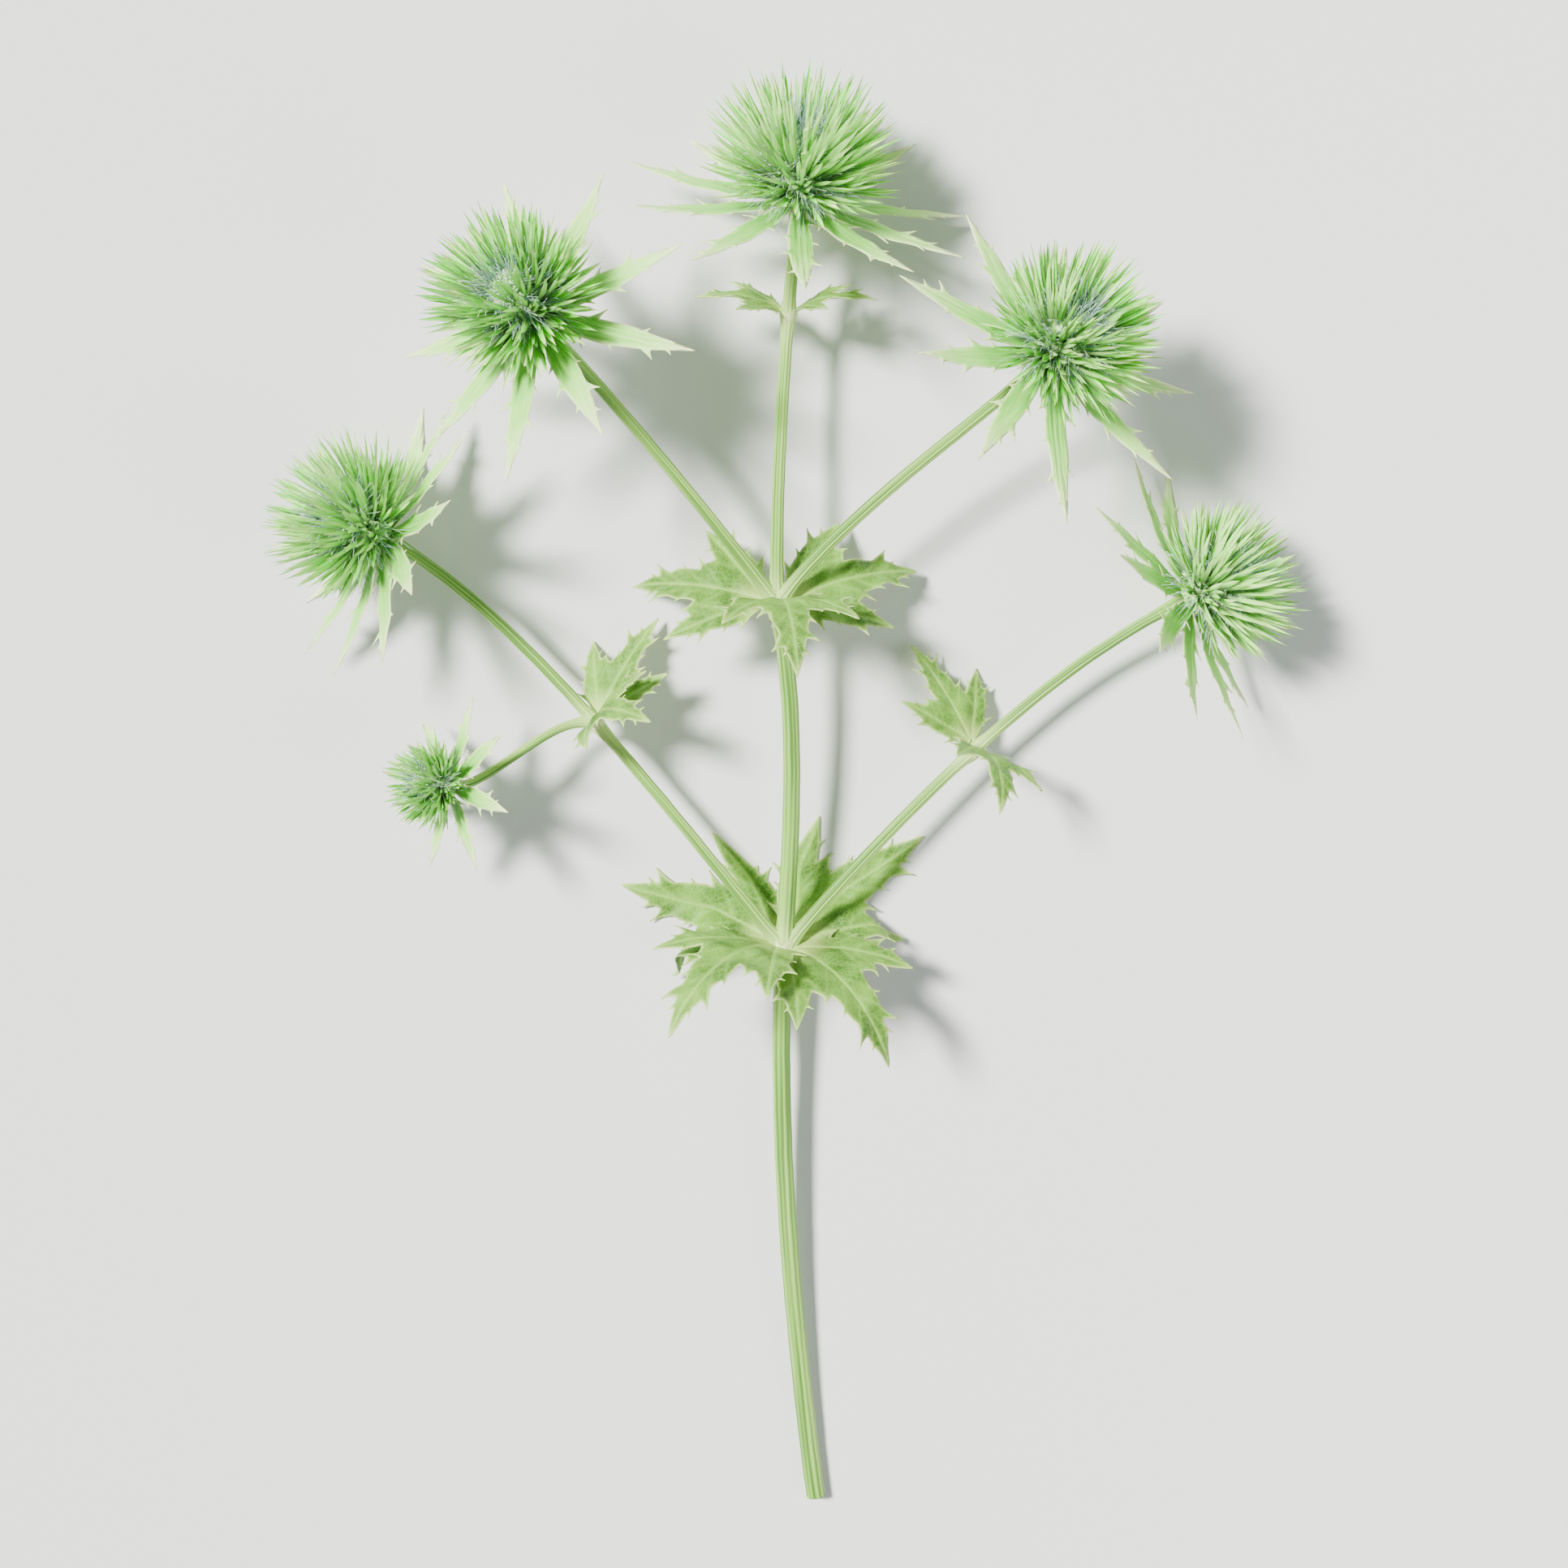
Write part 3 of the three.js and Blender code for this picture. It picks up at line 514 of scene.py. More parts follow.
for joint, facts in JOINTS.items():
    frame_mm = facing_frame(facts["at"], facts["along"])
    radius = facts["radius"]
    leaf_angles = [math.radians(leaf[0]) for leaf in WHORLS[joint][1]]
    points, faces, rises, veins = [], [], [], []
    for share, stand_off in SHEATH_ROWS:
        for angle, c, s in ring_of(SHEATH_SIDES):
            behind = sum(max(0.0, math.cos(angle - leaf)) ** 5 for leaf in leaf_angles)
            top = radius * (SHEATH_RIM + BEHIND_LEAF * min(1.2, behind)) + 0.12 * math.sin(angle * 7)
            low = -radius * SHEATH_FOOT + 0.3 * math.cos(angle * 5)
            height = low + (top - low) * share
            swell = math.exp(-(height / (radius * 1.25)) ** 2)
            pleat = PLEAT_DEPTH * radius * math.cos(angle * PLEATS)
            r = radius * (0.82 + 0.18 * swell) + stand_off + pleat + 0.25 * behind * share ** 3
            points.append(frame_mm @ Vector((r * c, r * s, height)))
            rises.append(share)
            veins.append(0.5 - 0.5 * math.cos(angle * PLEATS))
    for low in range(0, len(points), SHEATH_SIDES):
        faces += between(low, (low + SHEATH_SIDES) % len(points), SHEATH_SIDES)
    sheath = plain_piece(joint + "_sheath", points, faces, sheath_skin, {"along": rises, "vein": veins})
    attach(sheath, "root")
    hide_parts("stem")

# ---- Leaves ----
# Whorls of stiff leaves clasp the joints. Each is one blade cut into three long lobes, folded up a
# little along its ribs, with pale veins and a pale margin drawn out into spiny teeth.

LEAF_SPACING = 0.7  # mm between the corners of a blade
LEAF_CLEARANCE = 0.35  # mm that a leaf's underside keeps above the table
GROUND_SOFTNESS = 4.5  # mm above the table within which a blade levels out
RIB_STEPS = 24
EDGE_STEP = 1.1  # mm between the points of an edge
NARROWEST = 0.14  # mm, the least half width of a lobe
SPINE_BLUNTNESS = 0.11  # mm, half the width of a spine's point
# The lobes: the angle of each, and its share of the leaf's length.
LOBES = [(0.66, 0.72), (0.0, 1.0), (-0.66, 0.72)]
LOBE_WIDTH = 0.12  # half the width of the middle lobe, as a share of the leaf's length
LARGE_TOOTH = 0.1  # its longest teeth, as a share of that length
LOBE_ROOT = 0.5  # share of its half width that a lobe has at its root
FOOT_CORNER = (-1.6, 0.9)  # mm, where the leaf's foot runs into the sheath
# Small teeth stand between the large ones: the share of an edge at which the last gap ends, the gap
# that gets one, how far it strays, its share of a large tooth's length and how much that varies.
LEAF_TEETH = {"last": 0.93, "gap": 0.16, "stray": 0.02, "share": 0.42, "uneven": 0.12}


def random_from(seed):
    """Numbers between 0 and 1 from a seed, always the same ones."""
    state = seed & 0xFFFFFFFF
    while True:
        state = (state + 0x6D2B79F5) & 0xFFFFFFFF
        t = ((state ^ (state >> 15)) * (1 | state)) & 0xFFFFFFFF
        t = ((t + (((t ^ (t >> 7)) * (61 | t)) & 0xFFFFFFFF)) & 0xFFFFFFFF) ^ t
        yield ((t ^ (t >> 14)) & 0xFFFFFFFF) / 4294967296


def spread(random, amount):
    return (next(random) * 2 - 1) * amount


def grow_rib(root, direction, up, length, curl, frame_mm, clearance):
    """The middle line of a blade in mm: it curls towards its upper side and levels out on the table.
    Rows of places, of directions to the side and of directions above."""
    table_up = frame_mm.to_3x3().transposed() @ Vector((0, 0, 1))
    stride = length / RIB_STEPS
    at, along = root.copy(), direction.normalized()
    side = along.cross(up).normalized()
    places, sides, aboves = [], [], []
    for _ in range(RIB_STEPS + 1):
        above = side.cross(along)
        places.append(at.copy())
        sides.append(side.copy())
        aboves.append(above)
        along = (along + above * curl * stride).normalized()
        room = max(0.0, frame_mm.translation.z + at.dot(table_up) - clearance) / GROUND_SOFTNESS
        rise = along.dot(table_up)
        if rise < -room:
            along = (along + table_up * (-room - rise)).normalized()
        if room < 1:
            side = side - table_up * (side.dot(table_up) * (1 - room) * 0.5)
        side = (side - along * side.dot(along)).normalized()
        at = at + along * stride
    rows = [np.array(row) for row in (places, sides, aboves)]
    return {"stride": stride, "rows": rows, "start": direction.normalized(), "clearance": clearance,
            "table_up": np.array(table_up), "height": frame_mm.translation.z}


def bend_on(rib, flat, lift, half_thickness):
    """Lays flat points (along, across) on a rib: the two faces of the blade, as rows of places in mm."""
    x = np.clip(flat[:, 0] / rib["stride"], 0, RIB_STEPS)
    steps = np.arange(RIB_STEPS + 1)
    at, side, above = (
        np.stack([np.interp(x, steps, row[:, k]) for k in range(3)], 1) for row in rib["rows"])
    side /= np.linalg.norm(side, axis=1, keepdims=True)
    above /= np.linalg.norm(above, axis=1, keepdims=True)
    at = at + np.minimum(flat[:, :1], 0) * np.array(rib["start"])
    middle = at + side * flat[:, 1:] + above * lift[:, None]
    height = rib["height"] + middle @ rib["table_up"]
    sunk = np.maximum(0, rib["clearance"] + half_thickness - height)
    middle = middle + sunk[:, None] * rib["table_up"]
    return middle + above * half_thickness[:, None], middle - above * half_thickness[:, None]


def segments_of(line, closed=True):
    line = np.array(line)
    return np.stack([line, np.roll(line, -1, 0)], 1)[: len(line) if closed else len(line) - 1]


def distance_to(points, segments):
    """How far each flat point is from the nearest of some segments."""
    start, run = segments[:, 0], segments[:, 1] - segments[:, 0]
    share = ((points[:, None] - start) * run).sum(2) / np.maximum((run ** 2).sum(1), 1e-9)
    nearest = start + np.clip(share, 0, 1)[..., None] * run
    return np.linalg.norm(points[:, None] - nearest, axis=2).min(1)


def inside(points, line):
    """Which flat points lie inside a closed line."""
    (x1, y1), (x2, y2) = (segments_of(line)[:, end].T for end in (0, 1))
    x, y = points[:, :1], points[:, 1:]
    crossing = (x2 - x1) * (y - y1) / np.where(y1 == y2, 1e-9, y2 - y1) + x1
    return (((y1 > y) != (y2 > y)) & (x < crossing)).sum(1) % 2 == 1


def rim_of(triangles):
    """The edges that only one triangle has, each with the blade on its left."""
    edges = {(t[i], t[(i + 1) % 3]) for t in triangles for i in range(3)}
    return [(a, b) for a, b in edges if (b, a) not in edges]


def fill(outlines, spacing):
    """Fills the union of closed outlines evenly: its flat corners, its triangles, and how far each
    corner is from the edge."""
    segments = np.concatenate([segments_of(line) for line in outlines])
    low, high = segments.min((0, 1)), segments.max((0, 1))
    rows = np.arange(low[1], high[1], spacing * 0.87)
    grid = np.array([(x + (i % 2) * spacing / 2, y) for i, y in enumerate(rows)
                     for x in np.arange(low[0], high[0], spacing)])
    within = np.any([inside(grid, line) for line in outlines], axis=0)
    grid = grid[within]
    grid = grid[distance_to(grid, segments) > 0.4 * spacing]
    corners = [Vector(p) for line in outlines for p in line] + [Vector(p) for p in grid]
    starts = np.cumsum([0] + [len(line) for line in outlines])
    faces = [list(range(a, b)) for a, b in zip(starts, starts[1:])]
    flat, _, triangles, *_ = delaunay_2d_cdt(corners, [], faces, 1, 1e-4)
    flat = np.array([tuple(p) for p in flat])
    edge = np.array([(flat[a], flat[b]) for a, b in rim_of(triangles)])
    return flat, triangles, distance_to(flat, edge)


def width_share(t, root_share):
    """Half width of a lobe at a share of its length: drawn in at the root, drawn out at the tip."""
    return (root_share + (4 - 2 * root_share) * t * (1 - t)) * (1 - t ** 2.2) ** 0.62


def tooth(start, tip, end):
    """Points round one tooth: hollow sides that run out into a spine."""
    start, tip, end = Vector(start), Vector(tip), Vector(end)
    middle = (start + end) / 2
    blunt = (end - start).normalized() * SPINE_BLUNTNESS
    points = []
    for foot, sign in ((start, -1), (end, 1)):
        hollow = foot.lerp(tip, 0.42).lerp(middle.lerp(tip, 0.42), 0.55)
        spine = tip + blunt * sign
        side = [foot * (1 - t) ** 2 + hollow * 2 * t * (1 - t) + spine * t * t
                for t in (0, 0.25, 0.5, 0.75, 1)]
        points += side if sign < 0 else side[::-1]
    return [tuple(p) for p in points]


def teeth_on(random, large, size, first, small):
    """Teeth along an edge as (share, length): large ones, and a small one in each wide gap."""
    teeth = [(t, size) for t in large]
    for a, b in zip([first] + large, large + [small["last"]]):
        if b - a > small["gap"]:
            at = (a + b) / 2 + spread(random, small["stray"])
            teeth.append((at, size * (small["share"] + spread(random, small["uneven"]))))
    return teeth


def toothed_edge(length, half_width, root_share, teeth, pinch=0.0):
    """One edge from root to tip, as (along, across), with teeth given as (share, tooth length)."""
    def half(t):
        drawn_in = 1 - pinch * math.exp(-(t / 0.12) ** 2)
        return max(NARROWEST, half_width * width_share(t, root_share) * drawn_in)

    points, t, step = [], 0.0, EDGE_STEP / length
    for at, size in sorted(teeth):
        back, ahead = size / length * 0.55, size / length * 0.3
        while t < at - back - step * 0.5:
            points.append((t * length, half(t)))
            t += step
        points += tooth(
            ((at - back) * length, half(at - back)),
            (at * length + 0.7 * size, half(at) + size * (1 - 0.35 * at)),
            ((at + ahead) * length, half(at + ahead)),
        )
        t = at + ahead + step
    while t < 0.99:
        points.append((t * length, half(t)))
        t += step
    return points


def turned(points, angle):
    c, s = math.cos(angle), math.sin(angle)
    return [(x * c - y * s, x * s + y * c) for x, y in points]


def near(distance, reach):
    """1 where a distance is nothing, fading to 0 within a few times the reach."""
    return np.exp(-(distance / reach) ** 2)


class BladeMesh:
    """Gathers blades into one mesh, with what is painted on them."""

    def __init__(self, frame_mm):
        self.frame_mm = frame_mm
        self.points, self.faces, self.marks = [], [], {}

    def add_faces(self, points, faces, **marks):
        start = len(self.points)
        self.points += [self.frame_mm @ Vector(p) for p in points]
        self.faces += [tuple(start + i for i in face) for face in faces]
        for mark, values in marks.items():
            self.marks.setdefault(mark, []).extend(float(v) for v in values)

    def add_blade(self, rib, flat, triangles, lift, half_thickness, **marks):
        top, bottom = bend_on(rib, flat, lift, half_thickness)
        n = len(flat)
        faces = [(a, c, b) for a, b, c in triangles] + [(n + a, n + b, n + c) for a, b, c in triangles]
        faces += [(n + b, n + a, a, b) for a, b in rim_of(triangles)]
        both = {mark: np.concatenate([values, values]) for mark, values in marks.items()}
        both["under"] = np.concatenate([np.zeros(n), np.ones(n)])
        self.add_faces(np.concatenate([top, bottom]), faces, **both)

    def piece(self, name, skin, slot, node):
        made = plain_piece(name, self.points, self.faces, skin, self.marks)
        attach(made, "root")
        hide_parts(node)


# Light green, paler underneath, with pale veins, a cream margin and spines, and a whitish root.
leaf_skin, skin, shader = new_skin("leaf_skin", Specular_IOR_Level=0.3)
cloud = spots(skin, 95, 4.0)
fine = spots(skin, 900, 2.0)
where = skin.node("ShaderNodeTexCoord", output="Object")
cell = skin.node("ShaderNodeTexVoronoi", {"feature": "DISTANCE_TO_EDGE"}, {"Vector": where, "Scale": 620.0})
net = ranged(skin, cell, 0.12, 0.0)
vein = marked(skin, "vein")
root = ranged(skin, marked(skin, "along"), 0.28, 0.0, fade="SMOOTHSTEP")
patch = ranged(skin, cloud, 0.3, 0.7, fade="SMOOTHSTEP")
face = mixed(skin, patch, (0.045, 0.14, 0.01), (0.17, 0.38, 0.04))
face = mixed(skin, marked(skin, "under") * 0.85, face, (0.4, 0.52, 0.22))
face = mixed(skin, net * 0.3, face, (0.3, 0.56, 0.09))
face = mixed(skin, vein * 0.6, face, (0.4, 0.7, 0.13))
face = mixed(skin, root * 0.75, face, (0.56, 0.72, 0.2))
face = mixed(skin, marked(skin, "margin") * 0.62, face, (0.7, 0.9, 0.3))
dress(shader, face, 0.4 + fine * 0.25, cloud * 0.3 + fine * 0.2 - vein * 0.5 - net * 0.12, 0.0004)


def leaf_lobe(random, length, turn, share):
    """The outline of one lobe and its veins, flat, in mm from the leaf's root."""
    reach = share * length
    half_width = LOBE_WIDTH * length * (0.4 + 0.6 * share)
    big = LARGE_TOOTH * length * (0.5 + 0.5 * share)
    edges, veins = [], [turned([(0, 0), (reach, 0)], turn)]
    for sign, offset in ((1, 0.5), (-1, 0.35)):
        outer = turn * sign > 0
        start = 0.12 if outer else 0.26 / share + 0.06
        count = 2 if outer or turn == 0 else 1
        large = [start + (0.9 - start) * (k + offset) / count for k in range(count)]
        teeth = teeth_on(random, large, big, start + 0.02, LEAF_TEETH)
        edge = toothed_edge(reach, half_width, LOBE_ROOT, teeth, pinch=0.3)
        edges.append([(s, sign * w) for s, w in edge])
        for t, size in teeth:
            leaving = (max(0.05, t - 0.17) * reach, 0)
            across = half_width * width_share(t, LOBE_ROOT) + 0.7 * size
            veins.append(turned([leaving, (t * reach + 0.6 * size, sign * across)], turn))
    left, right = edges
    outline = left + [(reach, 0)] + right[::-1]
    if turn == 0:
        outline = [FOOT_CORNER] + outline + [(FOOT_CORNER[0], -FOOT_CORNER[1])]
    return turned(outline, turn), veins


for joint, (length, leaves) in WHORLS.items():
    frame_mm = facing_frame(JOINTS[joint]["at"], JOINTS[joint]["along"])
    for number, (angle, reach, lean, bend, turn) in enumerate(leaves, 1):
        random = random_from(len(joint) * 101 + number * 17)
        around = math.radians(angle)
        out = Vector((math.cos(around), math.sin(around), 0))
        root = out * reach + Vector((0, 0, 3 * lean))
        direction = (out + Vector((0, 0, lean))).normalized()
        up = Vector((0, 0, 1)) - direction * direction.z
        up = Matrix.Rotation(math.radians(turn), 3, direction) @ up.normalized()
        rib = grow_rib(root, direction, up, length, -bend, frame_mm, LEAF_CLEARANCE)
        lobes = [leaf_lobe(random, length, *lobe) for lobe in LOBES]
        flat, triangles, to_edge = fill([outline for outline, _ in lobes], LEAF_SPACING)
        to_main = distance_to(flat, np.concatenate([segments_of(veins[0], False) for _, veins in lobes]))
        to_side = distance_to(flat, np.concatenate([
            segments_of(v, False) for _, veins in lobes for v in veins[1:]]))
        vein = np.maximum(near(to_main, 0.55), 0.35 * near(to_side, 0.5))
        # The blade folds up along its ribs, ripples away from them and sinks along its veins.
        phase = flat[:, 0] * 0.62 + next(random) * 6.3 + np.sign(flat[:, 1]) * 1.3
        ripple = 0.55 * np.sin(phase) * np.clip(to_main / 4, 0, 1)
        lift = 0.14 * to_main + ripple - 0.18 * vein * np.clip(to_edge, 0, 1)
        thickness = 0.1 + 0.22 * np.clip(to_edge / 1.2, 0, 1) + 0.12 * near(to_main, 0.8)
        blade = BladeMesh(frame_mm)
        blade.add_blade(rib, flat, triangles, lift, thickness, vein=vein, margin=near(to_edge, 0.45),
                        along=np.clip(np.linalg.norm(flat, axis=1) / length, 0, 1))
        node = f"leaf_{joint}_{number}"
        blade.piece(node + "_blade", leaf_skin, "leaf", node)

# ---- Bract ruffs ----
# Under each head a small green collar carries a ring of long, narrow, stiff bracts. Each has a few
# spines along its edges, pales to cream at its point, and bends flat where it bears on the table.

BRACTS = {"top": 10, "upper_left": 9, "upper_right": 9, "lower_left": 10, "lower_right": 10, "bud": 7}
# In mm, on the largest head.
BRACT_LENGTH = 47
BRACT_HALF_WIDTH = 3.35
BRACT_SPINE = 3.6
COLLAR_RADIUS = 5.2
BRACT_ROOT = 0.4  # as LOBE_ROOT, and the small teeth as in LEAF_TEETH
BRACT_TEETH = {"last": 0.95, "gap": 0.2, "stray": 0.03, "share": 0.5, "uneven": 0.15}
BRACT_CLEARANCE = 0.02  # mm
BRACT_SPACING = 0.9  # mm
# The collar from the end of the branch up into the dome: share of its radius, height in mm, and how
# pale it is there. It is pale like the branch below, and darker towards the top, which is painted
# shade between the bracts.
COLLAR_ROWS = [(0.62, -3.0, 0.5), (0.8, -2.7, 0.5), (0.95, -2.1, 0.45), (1.0, -1.4, 0.35),
               (0.98, -0.6, 0.2), (0.92, 0.3, 0.1)]
COLLAR_SIDES = 40

bract_skin, skin, shader = new_skin("bract_skin", Specular_IOR_Level=0.35)
cloud = spots(skin, 110, 4.0)
along = marked(skin, "along")
fibres = spots(skin, 1.6, 3.0, skin.node("ShaderNodeCombineXYZ", values={
    "X": along * 3.0, "Y": marked(skin, "across"), "Z": marked(skin, "which")}))
vein = marked(skin, "vein")
face = run_of(skin, along + (cloud - 0.5) * 0.3 + (fibres - 0.5) * 0.45,
              (0.0, (0.06, 0.26, 0.02)), (0.28, (0.14, 0.5, 0.04)), (0.5, (0.29, 0.78, 0.1)),
              (0.75, (0.52, 0.96, 0.24)), (1.0, (0.92, 1.0, 0.55)))
face = mixed(skin, marked(skin, "under") * 0.5, face, (0.42, 0.62, 0.24))
face = mixed(skin, vein * 0.35, face, (0.6, 0.92, 0.3))
face = mixed(skin, marked(skin, "margin") * 0.75, face, (0.9, 1.0, 0.5))
dress(shader, face, 0.38 + fibres * 0.3, fibres * 0.7 + vein * 0.6, 0.0005)


def head_frame(head):
    """A frame in mm at the base of a head's dome, whose +Z faces as the head does."""
    return facing_frame(HEADS[head]["base"], HEADS[head]["facing"])


for head, count in BRACTS.items():
    size = HEADS[head]["size"]
    frame_mm = head_frame(head)
    random = random_from(len(head) * 337 + count)
    detail = random_from(len(head) * 71 + count)
    ruff = BladeMesh(frame_mm)
    radius = COLLAR_RADIUS * math.sqrt(size)
    half_width = BRACT_HALF_WIDTH * math.sqrt(size)
    spine = BRACT_SPINE * math.sqrt(size)
    points, faces, paleness_and_shade = [], [], []
    for share, height, green in COLLAR_ROWS:
        for angle, c, s in ring_of(COLLAR_SIDES):
            r = radius * share * (1 + RIB_DEPTH * math.cos(RIBS * angle))
            points.append((r * c, r * s, height))
            paleness_and_shade.append(green)
    for low in range(0, len(points) - COLLAR_SIDES, COLLAR_SIDES):
        faces += between(low, low + COLLAR_SIDES, COLLAR_SIDES)
    faces += [tuple(reversed(range(COLLAR_SIDES))), tuple(range(len(points) - COLLAR_SIDES, len(points)))]
    none = [0] * len(points)
    # The collar is painted pale low down and darker up among the bracts, as painted shade there.
    ruff.add_faces(points, faces, along=paleness_and_shade, under=[2 * green for green in paleness_and_shade],
                   vein=none, margin=none, across=none, which=none)
    for k in range(count):
        around = k / count * 2 * math.pi + spread(random, 0.08)
        out = Vector((math.cos(around), math.sin(around), 0))
        length = BRACT_LENGTH * size * (1 + spread(random, 0.08))
        lean = -0.2 + spread(random, 0.12)
        curl = 0.006 + spread(random, 0.003)
        rib = grow_rib(out * radius * 0.6 + Vector((0, 0, -1.6)), out + Vector((0, 0, lean)),
                       Vector((0, 0, 1)), length, curl, frame_mm, BRACT_CLEARANCE)
        edges = []
        for number, offset in ((1 + k % 2, 0.55), (2 - k % 2, 0.35)):
            large = [0.9 * (j + offset) / number for j in range(number)]
            teeth = teeth_on(detail, large, spine, 0.15, BRACT_TEETH)
            edges.append(toothed_edge(length, half_width, BRACT_ROOT, teeth))
        outline = edges[0] + [(length, 0)] + [(s, -w) for s, w in reversed(edges[1])]
        flat, triangles, to_edge = fill([outline], BRACT_SPACING)
        across = np.abs(flat[:, 1])
        vein = np.maximum(near(across, 0.4), 0.5 * near(across - half_width * 0.45, 0.25))
        vein *= np.clip(to_edge / 0.6, 0, 1)
        # The blade is a shallow channel with a groove along its middle, and its edges wave.
        wave = 0.25 * np.sin(flat[:, 0] * 0.45 + next(detail) * 6.3) * np.clip(across / half_width, 0, 1)
        lift = 0.12 * across + wave - 0.15 * near(across, 0.5)
        thickness = 0.1 + 0.26 * np.clip(to_edge / 1.3, 0, 1)
        ruff.add_blade(rib, flat, triangles, lift, thickness, vein=vein, margin=near(to_edge, 0.4),
                       along=np.clip(flat[:, 0] / length, 0, 1), across=flat[:, 1],
                       which=np.full(len(flat), 7.0 * k))
    ruff.piece(head + "_bracts", bract_skin, "bract", "bract_ruff_" + head)

# ---- Florets ----
# The dome in the middle of each head is packed with small, knobbly, whitish green florets in spirals,
# each a five-pointed cup, with dark gaps between them. The body under the florets and the low corners
# of each floret are painted dark green, which is painted shade in those gaps.

DOME_RADIUS = 8.6  # mm, on the largest head, with its florets
DOME_HEIGHT = 20
DOME_MIDDLE = 0.34  # share of its height at which it is widest
FLORET_SIZE = 1.65  # mm, the radius of a floret
FLORET_RISE = 0.62  # share of the body's height from its middle up to the highest florets
BODY_WIDTH = 0.9  # radius of the body under the florets against the dome's
BODY_RISE = 0.95  # and its height
# The body of the dome under its florets: share of its radius and of its height, from below to the top.
CORE_ROWS = [(0.8, 0.0), (0.96, 0.18), (0.97, 0.38), (0.88, 0.58), (0.7, 0.76), (0.4, 0.91)]
CORE_TOP = 0.97
CORE_SIDES = 24
GOLDEN_ANGLE = math.pi * (3 - math.sqrt(5))

floret_skin, skin, shader = new_skin("floret_skin", Specular_IOR_Level=0.3)
fine = spots(skin, 1500, 2.0)
# From dark green, which is painted shade in the gaps and low on each floret, up to whitish green at the
# points.
face = run_of(skin, marked(skin, "along") + (marked(skin, "tone") - 0.5) * 0.3 + (fine - 0.5) * 0.2,
              (0.0, (0.05, 0.14, 0.05)), (0.22, (0.4, 0.78, 0.24)), (0.5, (0.66, 1.0, 0.42)),
              (1.0, (0.92, 1.0, 0.7)))
dress(shader, face, 0.45 + fine * 0.25, fine, 0.0002)

# A floret: five pointed lobes round a small raised middle, with one unit as its radius. The corners of
# a lobe: how far each is turned on towards the next lobe, distance out, height, and how pale it is.
# Its points are pale, while the corners low in its notches and its point underneath are darker, which
# is painted shade.
LOBE_CORNERS = [(0, 0.6, 0.55, 0.45), (0, 1.0, 1.15, 1.0), (0, 0.85, 0.25, 0.35), (0.5, 0.42, 0.35, 0.15),
                (0.5, 0.75, 0.0, 0.1)]
floret_points, floret_faces, floret_marks = [(0, 0, 0.75), (0, 0, -0.5)], [], [0.85, 0.0]
for j in range(5):
    for turn, r, h, mark in LOBE_CORNERS:
        a = 2 * math.pi * (j + turn) / 5
        floret_points.append((r * math.cos(a), r * math.sin(a), h))
        floret_marks.append(mark)
for j in range(5):
    inner, tip, outer, gap_in, gap_out = (2 + j * 5 + i for i in range(5))
    last_in, last_out = (2 + (j - 1) % 5 * 5 + i for i in (3, 4))
    floret_faces += [
        (0, inner, gap_in), (0, last_in, inner), (inner, tip, gap_in), (last_in, tip, inner),
        (gap_in, tip, outer), (tip, last_in, outer), (gap_in, outer, gap_out),
        (outer, last_in, last_out), (outer, 1, gap_out), (outer, last_out, 1)]


def template(name, points, faces, marks, smooth=False):
    """A shape in units of its own that a rule repeats. It isn't in the scene itself."""
    return bpy.data.objects.new(name, new_mesh(name, points, faces, marks, smooth, unit=1))


floret = template("floret", floret_points, floret_faces, {"along": floret_marks})


def vector_of(rule, x, y, z):
    return rule.node("ShaderNodeCombineXYZ", values={"X": x, "Y": y, "Z": z})


def scattered(rule, given, salt, low, high):
    """A random number between two others for each point, always the same for a seed and a salt."""
    values = {2: low, 3: high, "Seed": given["seed"] + float(salt)}
    return rule.node("FunctionNodeRandomValue", {"data_type": "FLOAT"}, values, output=1)


def spiral(rule, given, first, last, jitter, salt):
    """Points that wind evenly over a ball of radius 1, from one angle off its axis to another. Gives
    that angle and the one about the axis, and x, y and z."""
    index = rule.node("GeometryNodeInputIndex")
    top, bottom = rule.math("COSINE", first), rule.math("COSINE", last)
    cosine = top - (top - bottom) * ((index + 0.5) / given["count"])
    polar = rule.math("ARCCOSINE", cosine) + scattered(rule, given, salt, -1.0, 1.0) * jitter
    around = index * GOLDEN_ANGLE + scattered(rule, given, salt + 1, -1.0, 1.0) * (jitter * 3.0)
    out = rule.math("SINE", polar)
    x, y = out * rule.math("COSINE", around), out * rule.math("SINE", around)
    return polar, around, x, y, rule.math("COSINE", polar)


def on_dome(rule, given, x, y, z, width, rise):
    """Where a point of the ball lies on the dome, at shares of the dome's radius and height."""
    radius, height = given["dome radius"], given["dome height"]
    up = height * DOME_MIDDLE + z * (height * rise)
    return vector_of(rule, x * radius * width, y * radius * width, up)


def sprout(rule, given, place, tone_salt, outward, roll, shape, roll_axis="X"):
    """Stands a shape on every point, turned outward, with a random tone painted on it."""
    points = rule.node("GeometryNodePoints", values={"Count": given["count"], "Position": place})
    points = painted(rule, points, "tone", scattered(rule, given, tone_salt, 0.0, 1.0))
    turn = rule.node("FunctionNodeAxesToRotation", {"primary_axis": "Z", "secondary_axis": roll_axis},
                     {"Primary Axis": outward, "Secondary Axis": roll})
    return rule.node("GeometryNodeInstanceOnPoints", values={"Points": points, "Rotation": turn, **shape})


